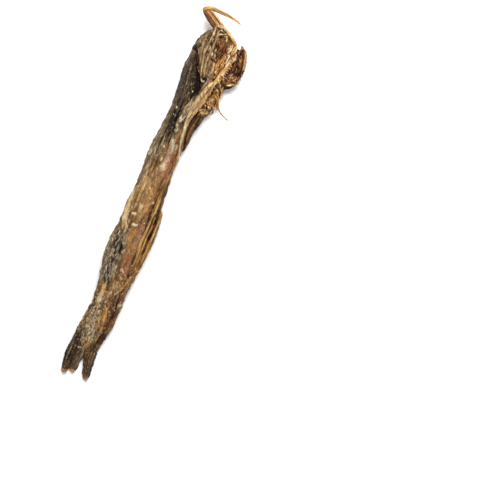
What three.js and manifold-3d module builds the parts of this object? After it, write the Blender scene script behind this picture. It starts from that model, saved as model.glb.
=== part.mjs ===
// One dried bombay duck, shrivelled flat along its length, lying on its side with the jaws agape.
// Millimetres. +Y runs to the head, +X to the belly side, +Z up from the surface that it lies on.
import * as THREE from 'three';
import { mergeVertices } from 'three/addons/utils/BufferGeometryUtils.js';
import Module from 'manifold-3d';

// Driving sizes
const MIDDLE_X = 9.0;             // the middle of the fish's box, which becomes the origin
const MIDDLE_Y = 5.0;
const SNOUT_Y = 124;              // where the jaw bones leave the head
const TAIL_Y = -123.5;            // the tip of the tail fin
const BONE_RADIUS = 0.8;
const THREAD_RADIUS = 0.45;

// How a strip ends and how its skin ripples
const END_ROUNDING = 0.08;        // the share of a strip's length that rounds off at each end
const END_SHARE = 0.35;           // how much of its size a strip has left at its very end
const RIPPLES_PER_POINT = 2.6;    // radians of ripple for each point of its route
const RIPPLE_LEAN = 0.05;         // radians of ripple for each degree round it

// The head
const EYE_PLACE = [5.6, 117.2, 11.9];
const EYE_RADIUS = 1.4;
const EYE_FLATNESS = 0.7;
const EYE_RIM = 0.45;
const HOLLOW_PLACE = [8.6, 108, 14.0];
const HOLLOW_SIZE = [3.0, 7.4, 2.6];
const HOLLOW_TURN = -8;           // degrees
const TOOTH_COUNT = 8;
const TOOTH_LENGTH = 2.2;
const TOOTH_RADIUS = 0.42;
const TOOTH_LEAN = -104;          // degrees, from pointing to the snout to pointing out of the mouth
const TOOTH_REACH = 1.7;          // from the middle of the jaw's edge to the middle of a tooth
const FIRST_TOOTH = 0.24;         // shares of the jaw's edge
const LAST_TOOTH = 0.74;

// The tail fin
const RAY_RADIUS = 0.5;
const RAY_TAPER = 0.7;
const RAY_SPREAD = 0.62;          // shares of a lobe's half width and half height
const RAYS = [-RAY_SPREAD, 0, RAY_SPREAD];

// A slab below the fish, which flattens it where it rests
const SLAB_WIDTH = 200;
const SLAB_LENGTH = 400;
const SLAB_DEPTH = 20;

const SKIN_COLOUR = 0x8f6a42;

const wasm = await Module();
wasm.setup();

// Turns a closed geometry into a solid that can be joined and cut
function solid(geometry) {
  const bare = geometry.clone();
  bare.deleteAttribute('normal');
  bare.deleteAttribute('uv');
  const merged = mergeVertices(bare, 1e-4);
  return new wasm.Manifold(new wasm.Mesh({
    numProp: 3,
    vertProperties: new Float32Array(merged.attributes.position.array),
    triVerts: new Uint32Array(merged.index.array),
  }));
}

// A flattened tube along a route of [x, y, z] points. Each point has its [half width, half height].
// A crease is [angle, drift, depth, spread]: a groove along the tube at that angle round it, in
// degrees, which drifts by so much from one end to the other.
function strip({ route, half, rows = 6, sides = 8, creases = [], ripple = 0.04, rounding = END_ROUNDING }) {
  const line = new THREE.CatmullRomCurve3(route.map((p) => new THREE.Vector3(...p)));
  const size = new THREE.CatmullRomCurve3(half.map(([w, h]) => new THREE.Vector3(w, h, 0)));
  const tube = new THREE.CylinderGeometry(1, 1, 1, sides, rows);
  const spot = tube.attributes.position;
  const upward = new THREE.Vector3(0, 0, 1);
  for (let i = 0; i < spot.count; i += 1) {
    const along = spot.getY(i) + 0.5;
    const across = spot.getX(i);
    const rise = spot.getZ(i);
    const centre = line.getPoint(along);
    const tangent = line.getTangent(along);
    const { x: halfWidth, y: halfHeight } = size.getPoint(along);
    const side = tangent.clone().cross(upward).normalize();
    const up = side.clone().cross(tangent).normalize();
    const angle = THREE.MathUtils.radToDeg(Math.atan2(rise, across));
    const toEnd = Math.min(1, Math.min(along, 1 - along) / rounding);
    let swell = 1 + ripple * Math.sin(along * route.length * RIPPLES_PER_POINT + angle * RIPPLE_LEAN);
    for (const [place, drift, depth, spread] of creases) {
      const apart = THREE.MathUtils.euclideanModulo(angle - place - drift * along + 180, 360) - 180;
      swell -= depth * Math.exp(-((apart / spread) ** 2));
    }
    swell *= END_SHARE + (1 - END_SHARE) * Math.sqrt(toEnd * (2 - toEnd));
    centre.addScaledVector(side, across * halfWidth * swell);
    centre.addScaledVector(up, rise * halfHeight * swell);
    spot.setXYZ(i, centre.x, centre.y, centre.z);
  }
  return solid(tube);
}

// A round tube that tapers to its far end
function thread(route, radius, endRadius, rows = 5, sides = 4) {
  const half = route.map((_, i) => {
    const r = THREE.MathUtils.lerp(radius, endRadius, i / (route.length - 1));
    return [r, r];
  });
  return strip({ route, half, rows, sides, ripple: 0 });
}

// The trunk of the fish, from the neck to the root of the tail
function trunk() {
  return strip({
    route: [[3.4, 62, 4.6], [2.9, 48, 4.6], [2.4, 32, 4.8], [3.4, 14, 4.9], [4.0, -4, 4.8],
      [5.2, -22, 4.7], [5.0, -40, 4.4], [6.9, -58, 3.9], [7.3, -74, 3.5], [6.6, -88, 3.2],
      [5.2, -100, 2.4], [4.8, -110, 1.5]],
    half: [[4.5, 2.4], [8.8, 4.0], [9.4, 4.8], [9.8, 5.1], [11.0, 5.0],
      [12.6, 4.8], [12.6, 4.5], [10.2, 4.1], [9.6, 3.6], [9.8, 3.2],
      [8.8, 2.2], [5.2, 1.1]],
    rows: 26,
    sides: 20,
    creases: [[40, 30, 0.16, 9], [75, -24, 0.14, 9], [110, 34, 0.16, 10], [150, -20, 0.12, 9],
      [205, 26, 0.12, 11], [250, -30, 0.2, 11], [300, 24, 0.18, 11], [340, -12, 0.1, 9]],
    ripple: 0.03,
  });
}

// The long folds of skin that lie over the trunk, each from the head's end to the tail's
function backFold() {
  return strip({
    route: [[-7.0, 108.4, 5.4], [-7.0, 104.6, 6.8], [-6.3, 99, 7.0], [-5.4, 92, 6.8], [-3.6, 80, 6.4],
      [-2.4, 66, 6.2], [-2.6, 50, 6.0], [-3.4, 34, 5.6], [-2.6, 18, 5.6], [-2.4, 0, 5.6], [-2.2, -14, 5.8]],
    half: [[1.5, 1.6], [2.2, 2.8], [3.0, 3.6], [4.2, 4.2], [4.2, 4.6],
      [4.2, 4.7], [4.6, 4.4], [4.6, 4.3], [4.3, 4.2], [3.6, 3.2], [1.6, 1.6]],
    rows: 24,
    sides: 12,
    creases: [[70, 40, 0.16, 14], [118, 20, 0.16, 14], [260, -30, 0.16, 16]],
    ripple: 0.03,
  });
}

// The dark skin deep between the back and the throat
function gullet() {
  return strip({
    route: [[-2.0, 104, 4.6], [0.2, 96, 4.4], [1.4, 86, 3.8], [2.4, 73, 3.6], [3.6, 62, 3.8], [3.4, 52, 4.2]],
    half: [[2.4, 2.4], [4.0, 2.6], [5.4, 2.6], [5.2, 2.4], [4.6, 2.6], [5.0, 3.0]],
    rows: 9,
  });
}

function middleFold() {
  return strip({
    route: [[3.6, 68, 6.6], [2.9, 58, 7.0], [3.6, 46, 6.8], [4.8, 32, 6.4],
      [5.0, 16, 6.2], [4.6, 0, 6.0], [5.0, -18, 5.8], [5.6, -36, 5.2]],
    half: [[0.8, 1.2], [2.0, 2.6], [3.6, 3.4], [5.2, 3.8],
      [6.0, 4.0], [5.6, 4.0], [4.4, 3.2], [2.4, 1.8]],
    rows: 12,
    creases: [[66, -10, 0.1, 14], [128, 14, 0.12, 14]],
  });
}

function throatFold() {
  return strip({
    route: [[13.4, 89, 10.4], [11.6, 82, 9.9], [10.0, 75, 9.0], [8.3, 67, 8.4], [7.4, 59, 8.0],
      [8.4, 51, 7.6], [9.6, 43, 6.8], [11.2, 36, 5.8], [12.0, 28, 5.0]],
    half: [[1.6, 1.8], [2.7, 2.6], [3.0, 2.8], [2.5, 2.6], [1.5, 2.3],
      [1.0, 2.0], [0.9, 1.9], [0.8, 1.6], [0.6, 1.2]],
    rows: 18,
    creases: [[100, 20, 0.14, 18]],
  });
}

function bellyFold() {
  return strip({
    route: [[14.6, 72, 5.0], [13.0, 64, 4.6], [11.2, 55, 4.2], [11.6, 47, 4.0], [11.8, 40, 3.6]],
    half: [[1.5, 1.5], [3.0, 2.8], [2.8, 3.0], [2.2, 2.6], [1.2, 1.8]],
    rows: 8,
  });
}

function greyFold() {
  return strip({
    route: [[-4.4, -14, 5.2], [-4.4, -26, 5.2], [-4.2, -38, 4.8], [-1.8, -50, 4.6], [1.6, -62, 4.6]],
    half: [[1.6, 1.6], [3.2, 2.8], [3.6, 3.0], [3.4, 2.8], [2.0, 1.8]],
    rows: 12,
    creases: [[60, 60, 0.2, 18], [130, -40, 0.2, 18]],
    ripple: 0.06,
  });
}

function lowerFold() {
  return strip({
    route: [[8.4, -26, 5.8], [9.6, -42, 5.6], [9.4, -56, 5.0], [6.4, -70, 4.6], [3.2, -84, 4.0], [1.2, -98, 3.0]],
    half: [[2.0, 2.0], [3.8, 3.0], [4.2, 2.8], [3.6, 2.6], [3.4, 2.2], [2.6, 1.6]],
    rows: 14,
    creases: [[90, 40, 0.16, 18]],
  });
}

function flankFold() {
  return strip({
    route: [[14.4, -46, 4.6], [13.8, -62, 4.4], [14.0, -74, 4.0], [13.4, -86, 3.6], [11.4, -98, 2.6]],
    half: [[2.2, 2.2], [2.6, 2.4], [3.0, 2.4], [3.4, 2.2], [3.0, 1.6]],
    rows: 10,
    creases: [[80, 30, 0.16, 18]],
  });
}

// Two long ridges along the belly side, with a lower one between them
function flankStrips() {
  return [
    {
      route: [[10.6, 13, 7.4], [12.0, -8, 7.6], [12.6, -26, 7.0], [13.2, -40, 6.4]],
      half: [[0.5, 0.7], [1.2, 1.7], [1.2, 1.7], [0.6, 0.8]],
    },
    {
      route: [[13.0, 8, 4.8], [14.5, -6, 5.4], [15.1, -20, 5.4], [15.2, -34, 5.0], [15.4, -46, 4.6]],
      half: [[0.9, 1.6], [1.3, 2.2], [1.4, 2.4], [1.4, 2.2], [0.9, 1.4]],
    },
    {
      route: [[16.0, -1, 5.6], [16.9, -9, 5.8], [17.5, -20, 5.6], [17.4, -31, 5.2], [17.0, -43, 4.6]],
      half: [[1.1, 1.8], [1.4, 2.4], [1.5, 2.6], [1.5, 2.4], [1.1, 1.6]],
    },
  ].map((shape) => strip({ ...shape, rows: 8, sides: 6 }));
}

// The head on its side, narrowing to the throat
function skull() {
  return strip({
    route: [[0.9, SNOUT_Y, 8.0], [2.4, 120.5, 7.4], [3.6, 115, 6.6], [4.2, 109, 6.2], [4.8, 103, 6.0],
      [6.6, 96, 6.4], [8.6, 89, 7.2], [10.0, 82, 7.8], [9.6, 75, 7.4]],
    half: [[2.6, 2.2], [6.0, 4.6], [9.6, 6.0], [11.2, 6.0], [9.8, 6.0],
      [7.4, 5.6], [4.8, 4.6], [3.0, 3.0], [1.4, 1.8]],
    rows: 15,
    sides: 18,
    creases: [[50, 26, 0.1, 9], [118, 20, 0.14, 9], [142, 26, 0.14, 9], [170, 20, 0.1, 10],
      [230, 0, 0.12, 12], [290, 20, 0.14, 12]],
    ripple: 0.03,
  });
}

// The hollow behind the eye, which opens on the upper side
function cheekHollow() {
  const hollow = new THREE.SphereGeometry(1, 10, 6);
  hollow.scale(...HOLLOW_SIZE);
  hollow.rotateZ(THREE.MathUtils.degToRad(HOLLOW_TURN));
  hollow.translate(...HOLLOW_PLACE);
  return solid(hollow);
}

// The thin bones in the hollow, and the ridges and the plate of skin round it
function cheekStrips() {
  return [
    thread([[6.6, 116, 12.2], [6.8, 109, 11.6], [7.4, 101, 12.0]], BONE_RADIUS, BONE_RADIUS),
    thread([[9.6, 115, 11.8], [9.9, 108, 11.2], [10.2, 101, 11.4]], BONE_RADIUS, BONE_RADIUS),
    thread([[0.2, 121.6, 12.0], [0.2, 110.5, 13.0], [1.2, 99, 12.5], [4.6, 88, 10.8]], BONE_RADIUS, BONE_RADIUS, 9),
    thread([[3.2, 116, 13.0], [3.4, 104, 12.9], [5.8, 91, 11.6]], BONE_RADIUS, BONE_RADIUS, 7),
    thread([[-4.4, 114, 10.6], [-4.0, 107, 10.6], [-1.4, 99, 10.8]], BONE_RADIUS, BONE_RADIUS),
    strip({
      route: [[-2.6, 119, 9.4], [-5.0, 114, 8.4], [-6.6, 109, 7.6], [-6.4, 105.4, 7.2]],
      half: [[1.2, 1.2], [2.0, 1.8], [2.1, 2.0], [1.8, 1.4]],
      sides: 6,
    }),
    strip({
      route: [[13.8, 109.4, 10.6], [12.6, 102, 11.4], [12.2, 96, 11.4], [12.0, 90, 10.8]],
      half: [[0.8, 0.8], [2.2, 1.2], [2.8, 1.3], [2.0, 1.1]],
      sides: 6,
    }),
  ];
}

// The dried eye: a ball in a raised rim
function eye() {
  const ball = new THREE.SphereGeometry(EYE_RADIUS, 8, 5);
  ball.scale(1, 1, EYE_FLATNESS);
  ball.translate(...EYE_PLACE);
  const rim = new THREE.TorusGeometry(EYE_RADIUS + EYE_RIM, EYE_RIM, 4, 10);
  rim.translate(...EYE_PLACE);
  return [solid(ball), solid(rim)];
}

// The lower jaw: bars of bone side by side that meet in a hook beyond the snout, and the free end
function lowerJaw() {
  return [
    {
      route: [[1.0, 120.8, 8.4], [-2.4, 122.9, 8.6], [-7.4, 125.9, 9.0], [-12.4, 128.9, 9.6]],
      half: [[1.2, 1.4], [1.5, 1.4], [1.4, 1.2], [0.9, 0.9]],
    },
    {
      route: [[2.6, 122.6, 8.6], [-1.6, 125.2, 8.8], [-6.4, 128.0, 9.4], [-11.6, 130.4, 9.8]],
      half: [[1.3, 1.1], [1.6, 1.2], [1.5, 1.1], [1.2, 0.9]],
    },
    {
      route: [[5.6, 123.6, 8.8], [1.2, 126.2, 9.2], [-3.6, 128.9, 9.8], [-8.6, 130.9, 10.0]],
      half: [[0.8, 0.9], [0.9, 1.1], [0.9, 1.0], [0.8, 0.8]],
    },
    {
      route: [[-13.0, 128.8, 9.8], [-10.4, 131.0, 10.0], [-6.0, 132.2, 10.0], [-1.0, 132.4, 9.6],
        [5.0, 132.2, 8.8], [10.2, 131.7, 7.8], [13.7, 130.4, 7.0]],
      half: [[1.0, 0.9], [1.4, 1.1], [1.4, 1.2], [1.3, 1.1], [1.1, 0.9], [0.85, 0.7], [0.3, 0.3]],
      rows: 12,
    },
  ].map((bar) => strip({ sides: 6, ripple: 0, ...bar }));
}

// The edge of the upper jaw, and the bar of bone that carries the teeth
function upperJaw() {
  const barRoute = [[18.2, 107.4, 10.6], [17.5, 103.8, 11.2], [16.7, 99, 11.4], [15.9, 94.6, 11.2],
    [14.6, 90.4, 10.8], [13.0, 86, 10.2]];
  const barLine = new THREE.CatmullRomCurve3(barRoute.map((p) => new THREE.Vector3(...p)));
  const teeth = Array.from({ length: TOOTH_COUNT }, (_, i) => {
    const spot = barLine.getPoint(THREE.MathUtils.lerp(FIRST_TOOTH, LAST_TOOTH, i / (TOOTH_COUNT - 1)));
    const tooth = new THREE.ConeGeometry(TOOTH_RADIUS, TOOTH_LENGTH, 5);
    tooth.rotateZ(THREE.MathUtils.degToRad(TOOTH_LEAN));
    tooth.translate(spot.x + TOOTH_REACH, spot.y, spot.z);
    return solid(tooth);
  });
  return [
    ...teeth,
    strip({
      route: barRoute,
      half: [[0.7, 0.8], [1.5, 1.3], [1.6, 1.4], [1.6, 1.4], [1.4, 1.2], [1.0, 1.0]],
      rows: 9,
    }),
    strip({
      route: [[1.6, 124.2, 9.4], [7.0, 122.6, 9.6], [12.2, 119.9, 9.4], [17.2, 116.6, 9.6]],
      half: [[0.9, 1.0], [1.2, 1.2], [1.2, 1.2], [0.9, 0.9]],
      sides: 6,
      ripple: 0,
    }),
  ];
}

// The dried flesh of the open mouth: the snout, the palate, the wall behind the teeth and the far jaw
function mouth() {
  return [
    {
      route: [[10.0, 119.6, 7.4], [13.6, 115.6, 7.2], [15.8, 110, 7.0], [16.2, 103, 6.8]],
      half: [[1.6, 1.6], [3.4, 2.6], [3.6, 3.0], [3.2, 3.0]],
    },
    {
      route: [[14.6, 110, 5.4], [16.6, 104, 5.4], [17.2, 97, 5.8], [14.4, 89, 6.6]],
      half: [[3.0, 3.4], [4.2, 4.2], [4.0, 4.4], [2.6, 3.2]],
    },
    {
      route: [[18.6, 115.8, 6.2], [18.9, 111, 5.8], [19.4, 106, 5.4], [19.6, 99, 5.4], [18.4, 93, 5.6]],
      half: [[1.0, 1.0], [2.0, 2.0], [2.4, 2.2], [2.4, 2.2], [2.0, 2.0]],
    },
    {
      route: [[20.8, 117.2, 6.0], [21.8, 112.4, 5.6], [23.0, 106, 5.4], [23.0, 100, 5.2], [21.0, 93.6, 5.4]],
      half: [[1.0, 1.0], [2.9, 2.0], [4.4, 2.4], [4.4, 2.4], [2.4, 2.0]],
      rows: 9,
      sides: 9,
      creases: [[60, 40, 0.2, 20], [120, 20, 0.2, 20]],
    },
  ].map(strip);
}

// The torn gill arches behind the jaws on their bed, and the threads that hang out of them
function gills() {
  const beds = [
    {
      route: [[14.5, 90, 5.2], [19.6, 91.6, 4.6], [23.6, 94.2, 4.2], [27.0, 95.8, 3.8]],
      half: [[3.4, 2.6], [4.0, 2.4], [2.6, 2.0], [1.0, 1.0]],
    },
    {
      route: [[15.6, 90, 4.8], [16.6, 83, 4.4], [15.8, 75, 4.4], [14.4, 66, 4.2]],
      half: [[3.4, 2.6], [3.2, 2.4], [3.2, 2.6], [2.6, 2.2]],
    },
  ];
  const arches = [
    {
      route: [[14.5, 91, 7.4], [20, 92.0, 6.6], [24, 93.6, 5.6], [28, 95.4, 4.8]],
      half: [[1.6, 1.6], [1.6, 1.4], [1.1, 1.0], [0.35, 0.4]],
    },
    {
      route: [[16.5, 95, 8.4], [20.4, 97.4, 7.6], [24, 98.0, 6.6], [27.2, 96.6, 5.4]],
      half: [[1.4, 1.4], [1.3, 1.2], [0.9, 0.9], [0.35, 0.4]],
    },
    {
      route: [[13.4, 91, 8.0], [18.0, 88.4, 6.6], [21.8, 85, 5.2]],
      half: [[1.6, 1.4], [1.7, 1.4], [0.5, 0.5]],
    },
    {
      route: [[13.2, 89, 8.2], [15.8, 84, 6.8], [17.4, 79.6, 5.4]],
      half: [[1.6, 1.5], [1.5, 1.3], [0.6, 0.6]],
    },
    {
      route: [[16.8, 83, 6.2], [15.6, 76, 6.4], [14.6, 70, 6.0], [12.2, 64.5, 5.4]],
      half: [[1.3, 1.2], [2.2, 1.8], [2.4, 2.0], [1.4, 1.4]],
    },
  ];
  const threads = [
    [[15.6, 87, 6.8], [19.4, 81.2, 5.4], [23.2, 74.4, 3.4], [31.2, 70.6, 1.6]],
    [[16.8, 84, 6.2], [19.0, 79.4, 4.8], [21.8, 73.8, 2.6]],
    [[22.4, 98.6, 5.6], [25.2, 98.8, 5.2], [28.4, 98.2, 4.4]],
  ];
  return [
    ...beds.map(strip),
    ...arches.map((arch) => strip({ ...arch, sides: 6, ripple: 0.1 })),
    ...threads.map((route) => thread(route, THREAD_RADIUS * 1.4, THREAD_RADIUS, 8)),
  ];
}

// The shrivelled tail fin: three lobes with the rays as ridges along them
function tailFin() {
  const lobes = [
    {
      route: [[-0.4, -88, 3.2], [-1.4, -101, 2.4], [-1.8, -111, 1.8], [-0.6, TAIL_Y, 1.3]],
      half: [[2.8, 2.2], [3.2, 1.9], [2.9, 1.3], [2.3, 0.9]],
    },
    {
      route: [[4.6, -92, 3.0], [4.2, -103, 2.3], [3.8, -111, 1.6], [4.0, TAIL_Y + 2.5, 1.2]],
      half: [[3.0, 1.9], [3.4, 1.7], [3.0, 1.2], [2.3, 0.8]],
    },
    {
      route: [[10.6, -88, 3.0], [10.2, -100, 2.2], [11.6, -111, 1.5], [14.4, TAIL_Y + 1.1, 1.2]],
      half: [[3.2, 2.1], [4.2, 1.8], [3.4, 1.2], [2.0, 0.8]],
    },
  ];
  return lobes.flatMap(({ route, half }) => {
    const rays = RAYS.map((share) => thread(
      route.map(([x, y, z], i) => [x + share * half[i][0], y, z + half[i][1] * RAY_SPREAD]),
      RAY_RADIUS, RAY_RADIUS * RAY_TAPER,
    ));
    return [strip({ route, half, rows: 9, rounding: 0.03 }), ...rays];
  });
}

// Everything below the surface that the fish lies on, which flattens it where it touches
function surface() {
  const slab = new THREE.BoxGeometry(SLAB_WIDTH, SLAB_LENGTH, SLAB_DEPTH);
  slab.translate(0, 0, -SLAB_DEPTH / 2);
  return solid(slab);
}

function driedFish() {
  const pieces = [
    trunk(), backFold(), gullet(), middleFold(), throatFold(), bellyFold(), greyFold(), lowerFold(), flankFold(),
    ...flankStrips(), skull().subtract(cheekHollow()), ...cheekStrips(), ...eye(), ...lowerJaw(), ...upperJaw(),
    ...mouth(), ...gills(), ...tailFin(),
  ];
  const joined = pieces.reduce((whole, piece) => whole.add(piece));
  const rested = joined.subtract(surface());
  const shells = rested.decompose().sort((a, b) => b.volume() - a.volume());
  const { vertProperties, triVerts } = shells[0].getMesh();
  const geometry = new THREE.BufferGeometry();
  geometry.setAttribute('position', new THREE.BufferAttribute(new Float32Array(vertProperties), 3));
  geometry.setIndex(new THREE.BufferAttribute(new Uint32Array(triVerts), 1));
  geometry.translate(-MIDDLE_X, -MIDDLE_Y, 0);
  geometry.computeVertexNormals();
  return geometry;
}

const fish = new THREE.Mesh(
  driedFish(),
  new THREE.MeshStandardMaterial({ color: SKIN_COLOUR, roughness: 0.55, metalness: 0 }),
);
fish.name = 'dried_fish';

const group = new THREE.Group();
group.add(fish);
export default group;
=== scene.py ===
import math
import random

import bpy
import numpy as np
from mathutils import Matrix, Vector, noise
from mathutils.bvhtree import BVHTree


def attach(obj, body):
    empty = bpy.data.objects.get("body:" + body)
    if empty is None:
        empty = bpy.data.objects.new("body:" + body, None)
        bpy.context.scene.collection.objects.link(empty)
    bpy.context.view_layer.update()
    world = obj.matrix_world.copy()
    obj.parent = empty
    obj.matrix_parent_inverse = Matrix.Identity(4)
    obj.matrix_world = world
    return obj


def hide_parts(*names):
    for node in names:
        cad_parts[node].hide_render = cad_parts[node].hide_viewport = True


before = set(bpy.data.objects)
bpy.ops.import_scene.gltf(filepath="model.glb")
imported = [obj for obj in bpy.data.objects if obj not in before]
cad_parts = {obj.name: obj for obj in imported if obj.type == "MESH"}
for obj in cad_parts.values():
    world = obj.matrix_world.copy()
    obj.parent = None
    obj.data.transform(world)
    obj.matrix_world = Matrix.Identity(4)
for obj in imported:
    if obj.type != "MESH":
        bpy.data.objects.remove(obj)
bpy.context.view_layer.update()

# The fish is laid out in millimetres, with +Y to the head, +X to the belly side and the table at z = 0
MM = 0.001
MIDDLE = Vector((9.0, 5.0, 0.0))      # the middle of the fish's box, which is the frame's origin
BODY = "root"

# The photograph: its scale, and where and how the fish lies in it
PICTURE_PX = 500
PX_MM = 0.65
FISH_TURN = math.radians(24.0)
FISH_AT_PX = (140.0, 200.0)           # the pixel of the layout's own zero
CAMERA_HEIGHT = 600.0                 # above the fish's upper side, in millimetres
UPPER_SIDE = 7.0
DRY_SHINE = 0.1                       # how much light the dry surfaces mirror
GLINT_ROUGHNESS = 0.28

# Strips of skin and bone, with lengths in millimetres
RING_PITCH = 3.0                      # from one extruded ring to the next
LEAST_RINGS = 5
LEAST_HALF = 0.05                     # half the width or height of the thinnest ring
END_ROUNDING = 0.08                   # the share of a strip's length that rounds off at each end
END_SHARE = 0.35                      # how much of its size a strip has left at its very end
WAY_SAMPLES = 60                      # the points between which a way's length is added up
TURN_STEP = 0.004                     # the share of a way over which its direction is taken
FLOOR_SKIM = 0.03                     # the lowest that any piece comes
SKY = 60.0                            # above every piece
LEAST_LIE = 0.3                       # the lowest that a laid strip's middle line comes

# How the sides and edges of a strip run
RIPPLES_PER_POINT = 2.6               # radians of ripple for each point of its route
RIPPLE_LEAN = 0.05                    # radians of ripple for each degree round it
NOTCH_RUN = 3.2                       # the length of a notch in a torn edge
SMALL_NOTCHES = (1, 2.7, 1)           # how much closer the small notches stand
NOTCHES_APART = 3                     # keeps the notches of the left edge off those of the right one
NOTCHES_STEP = 9                      # moves the notches on from one piece to the next
RIM_TOP = 0.66                        # where the painted shade on the lower edges begins, as a share of the half height
RIM_STEEPNESS = 2
CREASE_SHADE = 0.85
CREASE_STEEPNESS = 5

# Noise
FOLD_STEEPNESS = 2.4
CELL_STRAY = 0.9                      # how far cells of skin stray from a grid, and in what waves
STRAY_STARTS = (3.1, 8.4, 5.7)
FURROW_STEEPNESS = 2.0
CELL_MIX = (12.99, 78.23, 37.72)      # these two turn the place of a cell into a number of its own
CELL_SPREAD = 4375.85
PUCKER = (1.0, 2.3, 1.0)              # a cell of puckered skin: its width, length and depth
PUCKER_MIDDLE = 0.6                   # the height in a cell that stays level with the plain skin
GRANULE_DEPTH = 0.34                  # how much deeper granular skin is puckered
PATTERN_STEP = np.array((17.0, 41.0, 7.0))      # moves the pattern on from one piece to the next

# How a spot of tone ends
SPOT_WAVES = (2.2, 5.0, 2.2)          # the waves of its edge: their width, length and depth
SPOT_FRAY = (0.8, 1.6, 0.8)           # the finer waves on them
FRAY_START = 7.3
FRAY_SHARE = 0.6
SPOT_REACH = 1.2                      # where it has faded, in shares of its half size
SPOT_STRAY = 0.8
SPOT_STEEPNESS = 2.6
LOWER_SHARE = 0.2                     # how much of an upper tone the lower side keeps
FADE_HEIGHT = 2.0
FADE_RUN = 2.4

# The sockets of Blender's colour mixer
MIX_SHARE, MIX_A, MIX_B, MIX_RESULT = 0, 6, 7, 2


def clamp(values, low=0.0, high=1.0):
    return np.minimum(np.maximum(values, low), high)


def smooth_way(points, shares):
    """Points on a smooth line through the given ones, at shares from 0 to 1 of the way along it"""
    p = np.array(points, float)
    p = np.vstack([2 * p[0] - p[1], p, 2 * p[-1] - p[-2]])
    place = clamp(np.asarray(shares, float)) * (len(points) - 1)
    start = np.minimum(place.astype(int), len(points) - 2)
    t = (place - start)[:, None]
    a, b, c, d = p[start], p[start + 1], p[start + 2], p[start + 3]
    squared, cubed = 2 * a - 5 * b + 4 * c - d, 3 * b - a - 3 * c + d
    return 0.5 * (2 * b + (c - a) * t + squared * t ** 2 + cubed * t ** 3)


def way_length(route):
    spots = smooth_way(route, np.linspace(0, 1, WAY_SAMPLES))
    return float(np.linalg.norm(np.diff(spots, axis=0), axis=1).sum())


def coordinates(piece):
    found = np.zeros(len(piece.data.vertices) * 3)
    piece.data.vertices.foreach_get("co", found)
    return found.reshape(-1, 3)


def normals(piece):
    found = np.zeros(len(piece.data.vertices) * 3)
    piece.data.vertices.foreach_get("normal", found)
    return found.reshape(-1, 3)


def move_to(piece, places):
    piece.data.vertices.foreach_set("co", np.ascontiguousarray(places).ravel())
    piece.data.update()


def keep_values(piece, name, values):
    """Keeps one number, or three, for each point of the piece"""
    kind, field = ("FLOAT_VECTOR", "vector") if values.ndim == 2 else ("FLOAT", "value")
    made = piece.data.attributes.new(name, kind, "POINT")
    made.data.foreach_set(field, np.ascontiguousarray(values, dtype=np.float32).ravel())


# Noise on points

def wander(points):
    """Smooth noise, from about -0.5 to 0.5"""
    return np.array([noise.noise(p) for p in points.tolist()])


def folds(points):
    """Rounded folds at 1, with sharp valleys at 0 between them"""
    return clamp(np.abs(wander(points)) * FOLD_STEEPNESS)


def grains(points):
    """Cells of puckered skin: their height from 0 in the furrows, and a number from 0 to 1 for each cell"""
    stray = np.column_stack([wander(points * CELL_STRAY + start) for start in STRAY_STARTS])
    found = [noise.voronoi(p) for p in (points + stray * CELL_STRAY).tolist()]
    near = np.array([distances[:2] for distances, _ in found])
    cell = np.array([spots[0] for _, spots in found])
    own = np.sin(cell @ CELL_MIX) * CELL_SPREAD
    return clamp((near[:, 1] - near[:, 0]) * FURROW_STEEPNESS), own - np.floor(own)


# Modelling with Blender's own operators

def start_object_mode():
    if bpy.context.object and bpy.context.object.mode != "OBJECT":
        bpy.ops.object.mode_set(mode="OBJECT")
    bpy.ops.object.select_all(action="DESELECT")


def apply_modifier(piece, kind, **settings):
    bpy.context.view_layer.objects.active = piece
    made = piece.modifiers.new(kind.title(), kind)
    for name, value in settings.items():
        setattr(made, name, value)
    bpy.ops.object.modifier_apply(modifier=made.name)


def extruded_strip(name, rings, sides, levels):
    """A straight strip along Y: a filled ring, extruded and resized from one (y, width, height) to the next.
    Where it is smoothed, its first ring starts wider by what smoothing takes off."""
    start_object_mode()
    first_y, first_width, first_height = rings[0]
    bpy.ops.mesh.primitive_circle_add(
        vertices=sides, radius=1.0, fill_type="NGON",
        rotation=(math.pi / 2, 0.0, 0.0), location=(0, first_y, 0),
    )
    piece = bpy.context.object
    piece.name = name
    bpy.ops.object.transform_apply(location=True, rotation=True, scale=True)
    smoothing_loss = (2.0 + math.cos(2 * math.pi / sides)) / 3.0 if levels else 1.0
    outward = 1.0 / smoothing_loss
    bpy.ops.object.mode_set(mode="EDIT")
    bpy.ops.mesh.select_all(action="SELECT")
    bpy.ops.transform.resize(
        value=(first_width * outward, 1.0, first_height * outward), center_override=(0, first_y, 0)
    )
    for (y, width, height), (next_y, next_width, next_height) in zip(rings, rings[1:]):
        bpy.ops.mesh.extrude_region_move(TRANSFORM_OT_translate={"value": (0, next_y - y, 0)})
        bpy.ops.transform.resize(
            value=(next_width / width, 1.0, next_height / height), center_override=(0, next_y, 0)
        )
    bpy.ops.mesh.select_all(action="SELECT")
    bpy.ops.mesh.normals_make_consistent(inside=False)
    bpy.ops.object.mode_set(mode="OBJECT")
    if levels:
        apply_modifier(piece, "SUBSURF", levels=levels, render_levels=levels)
    bpy.ops.object.shade_smooth()
    return piece


def copied(piece, name):
    """A copy of the piece with its own mesh"""
    made = piece.copy()
    made.data = piece.data.copy()
    made.name = name
    bpy.context.scene.collection.objects.link(made)
    return made


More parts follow.
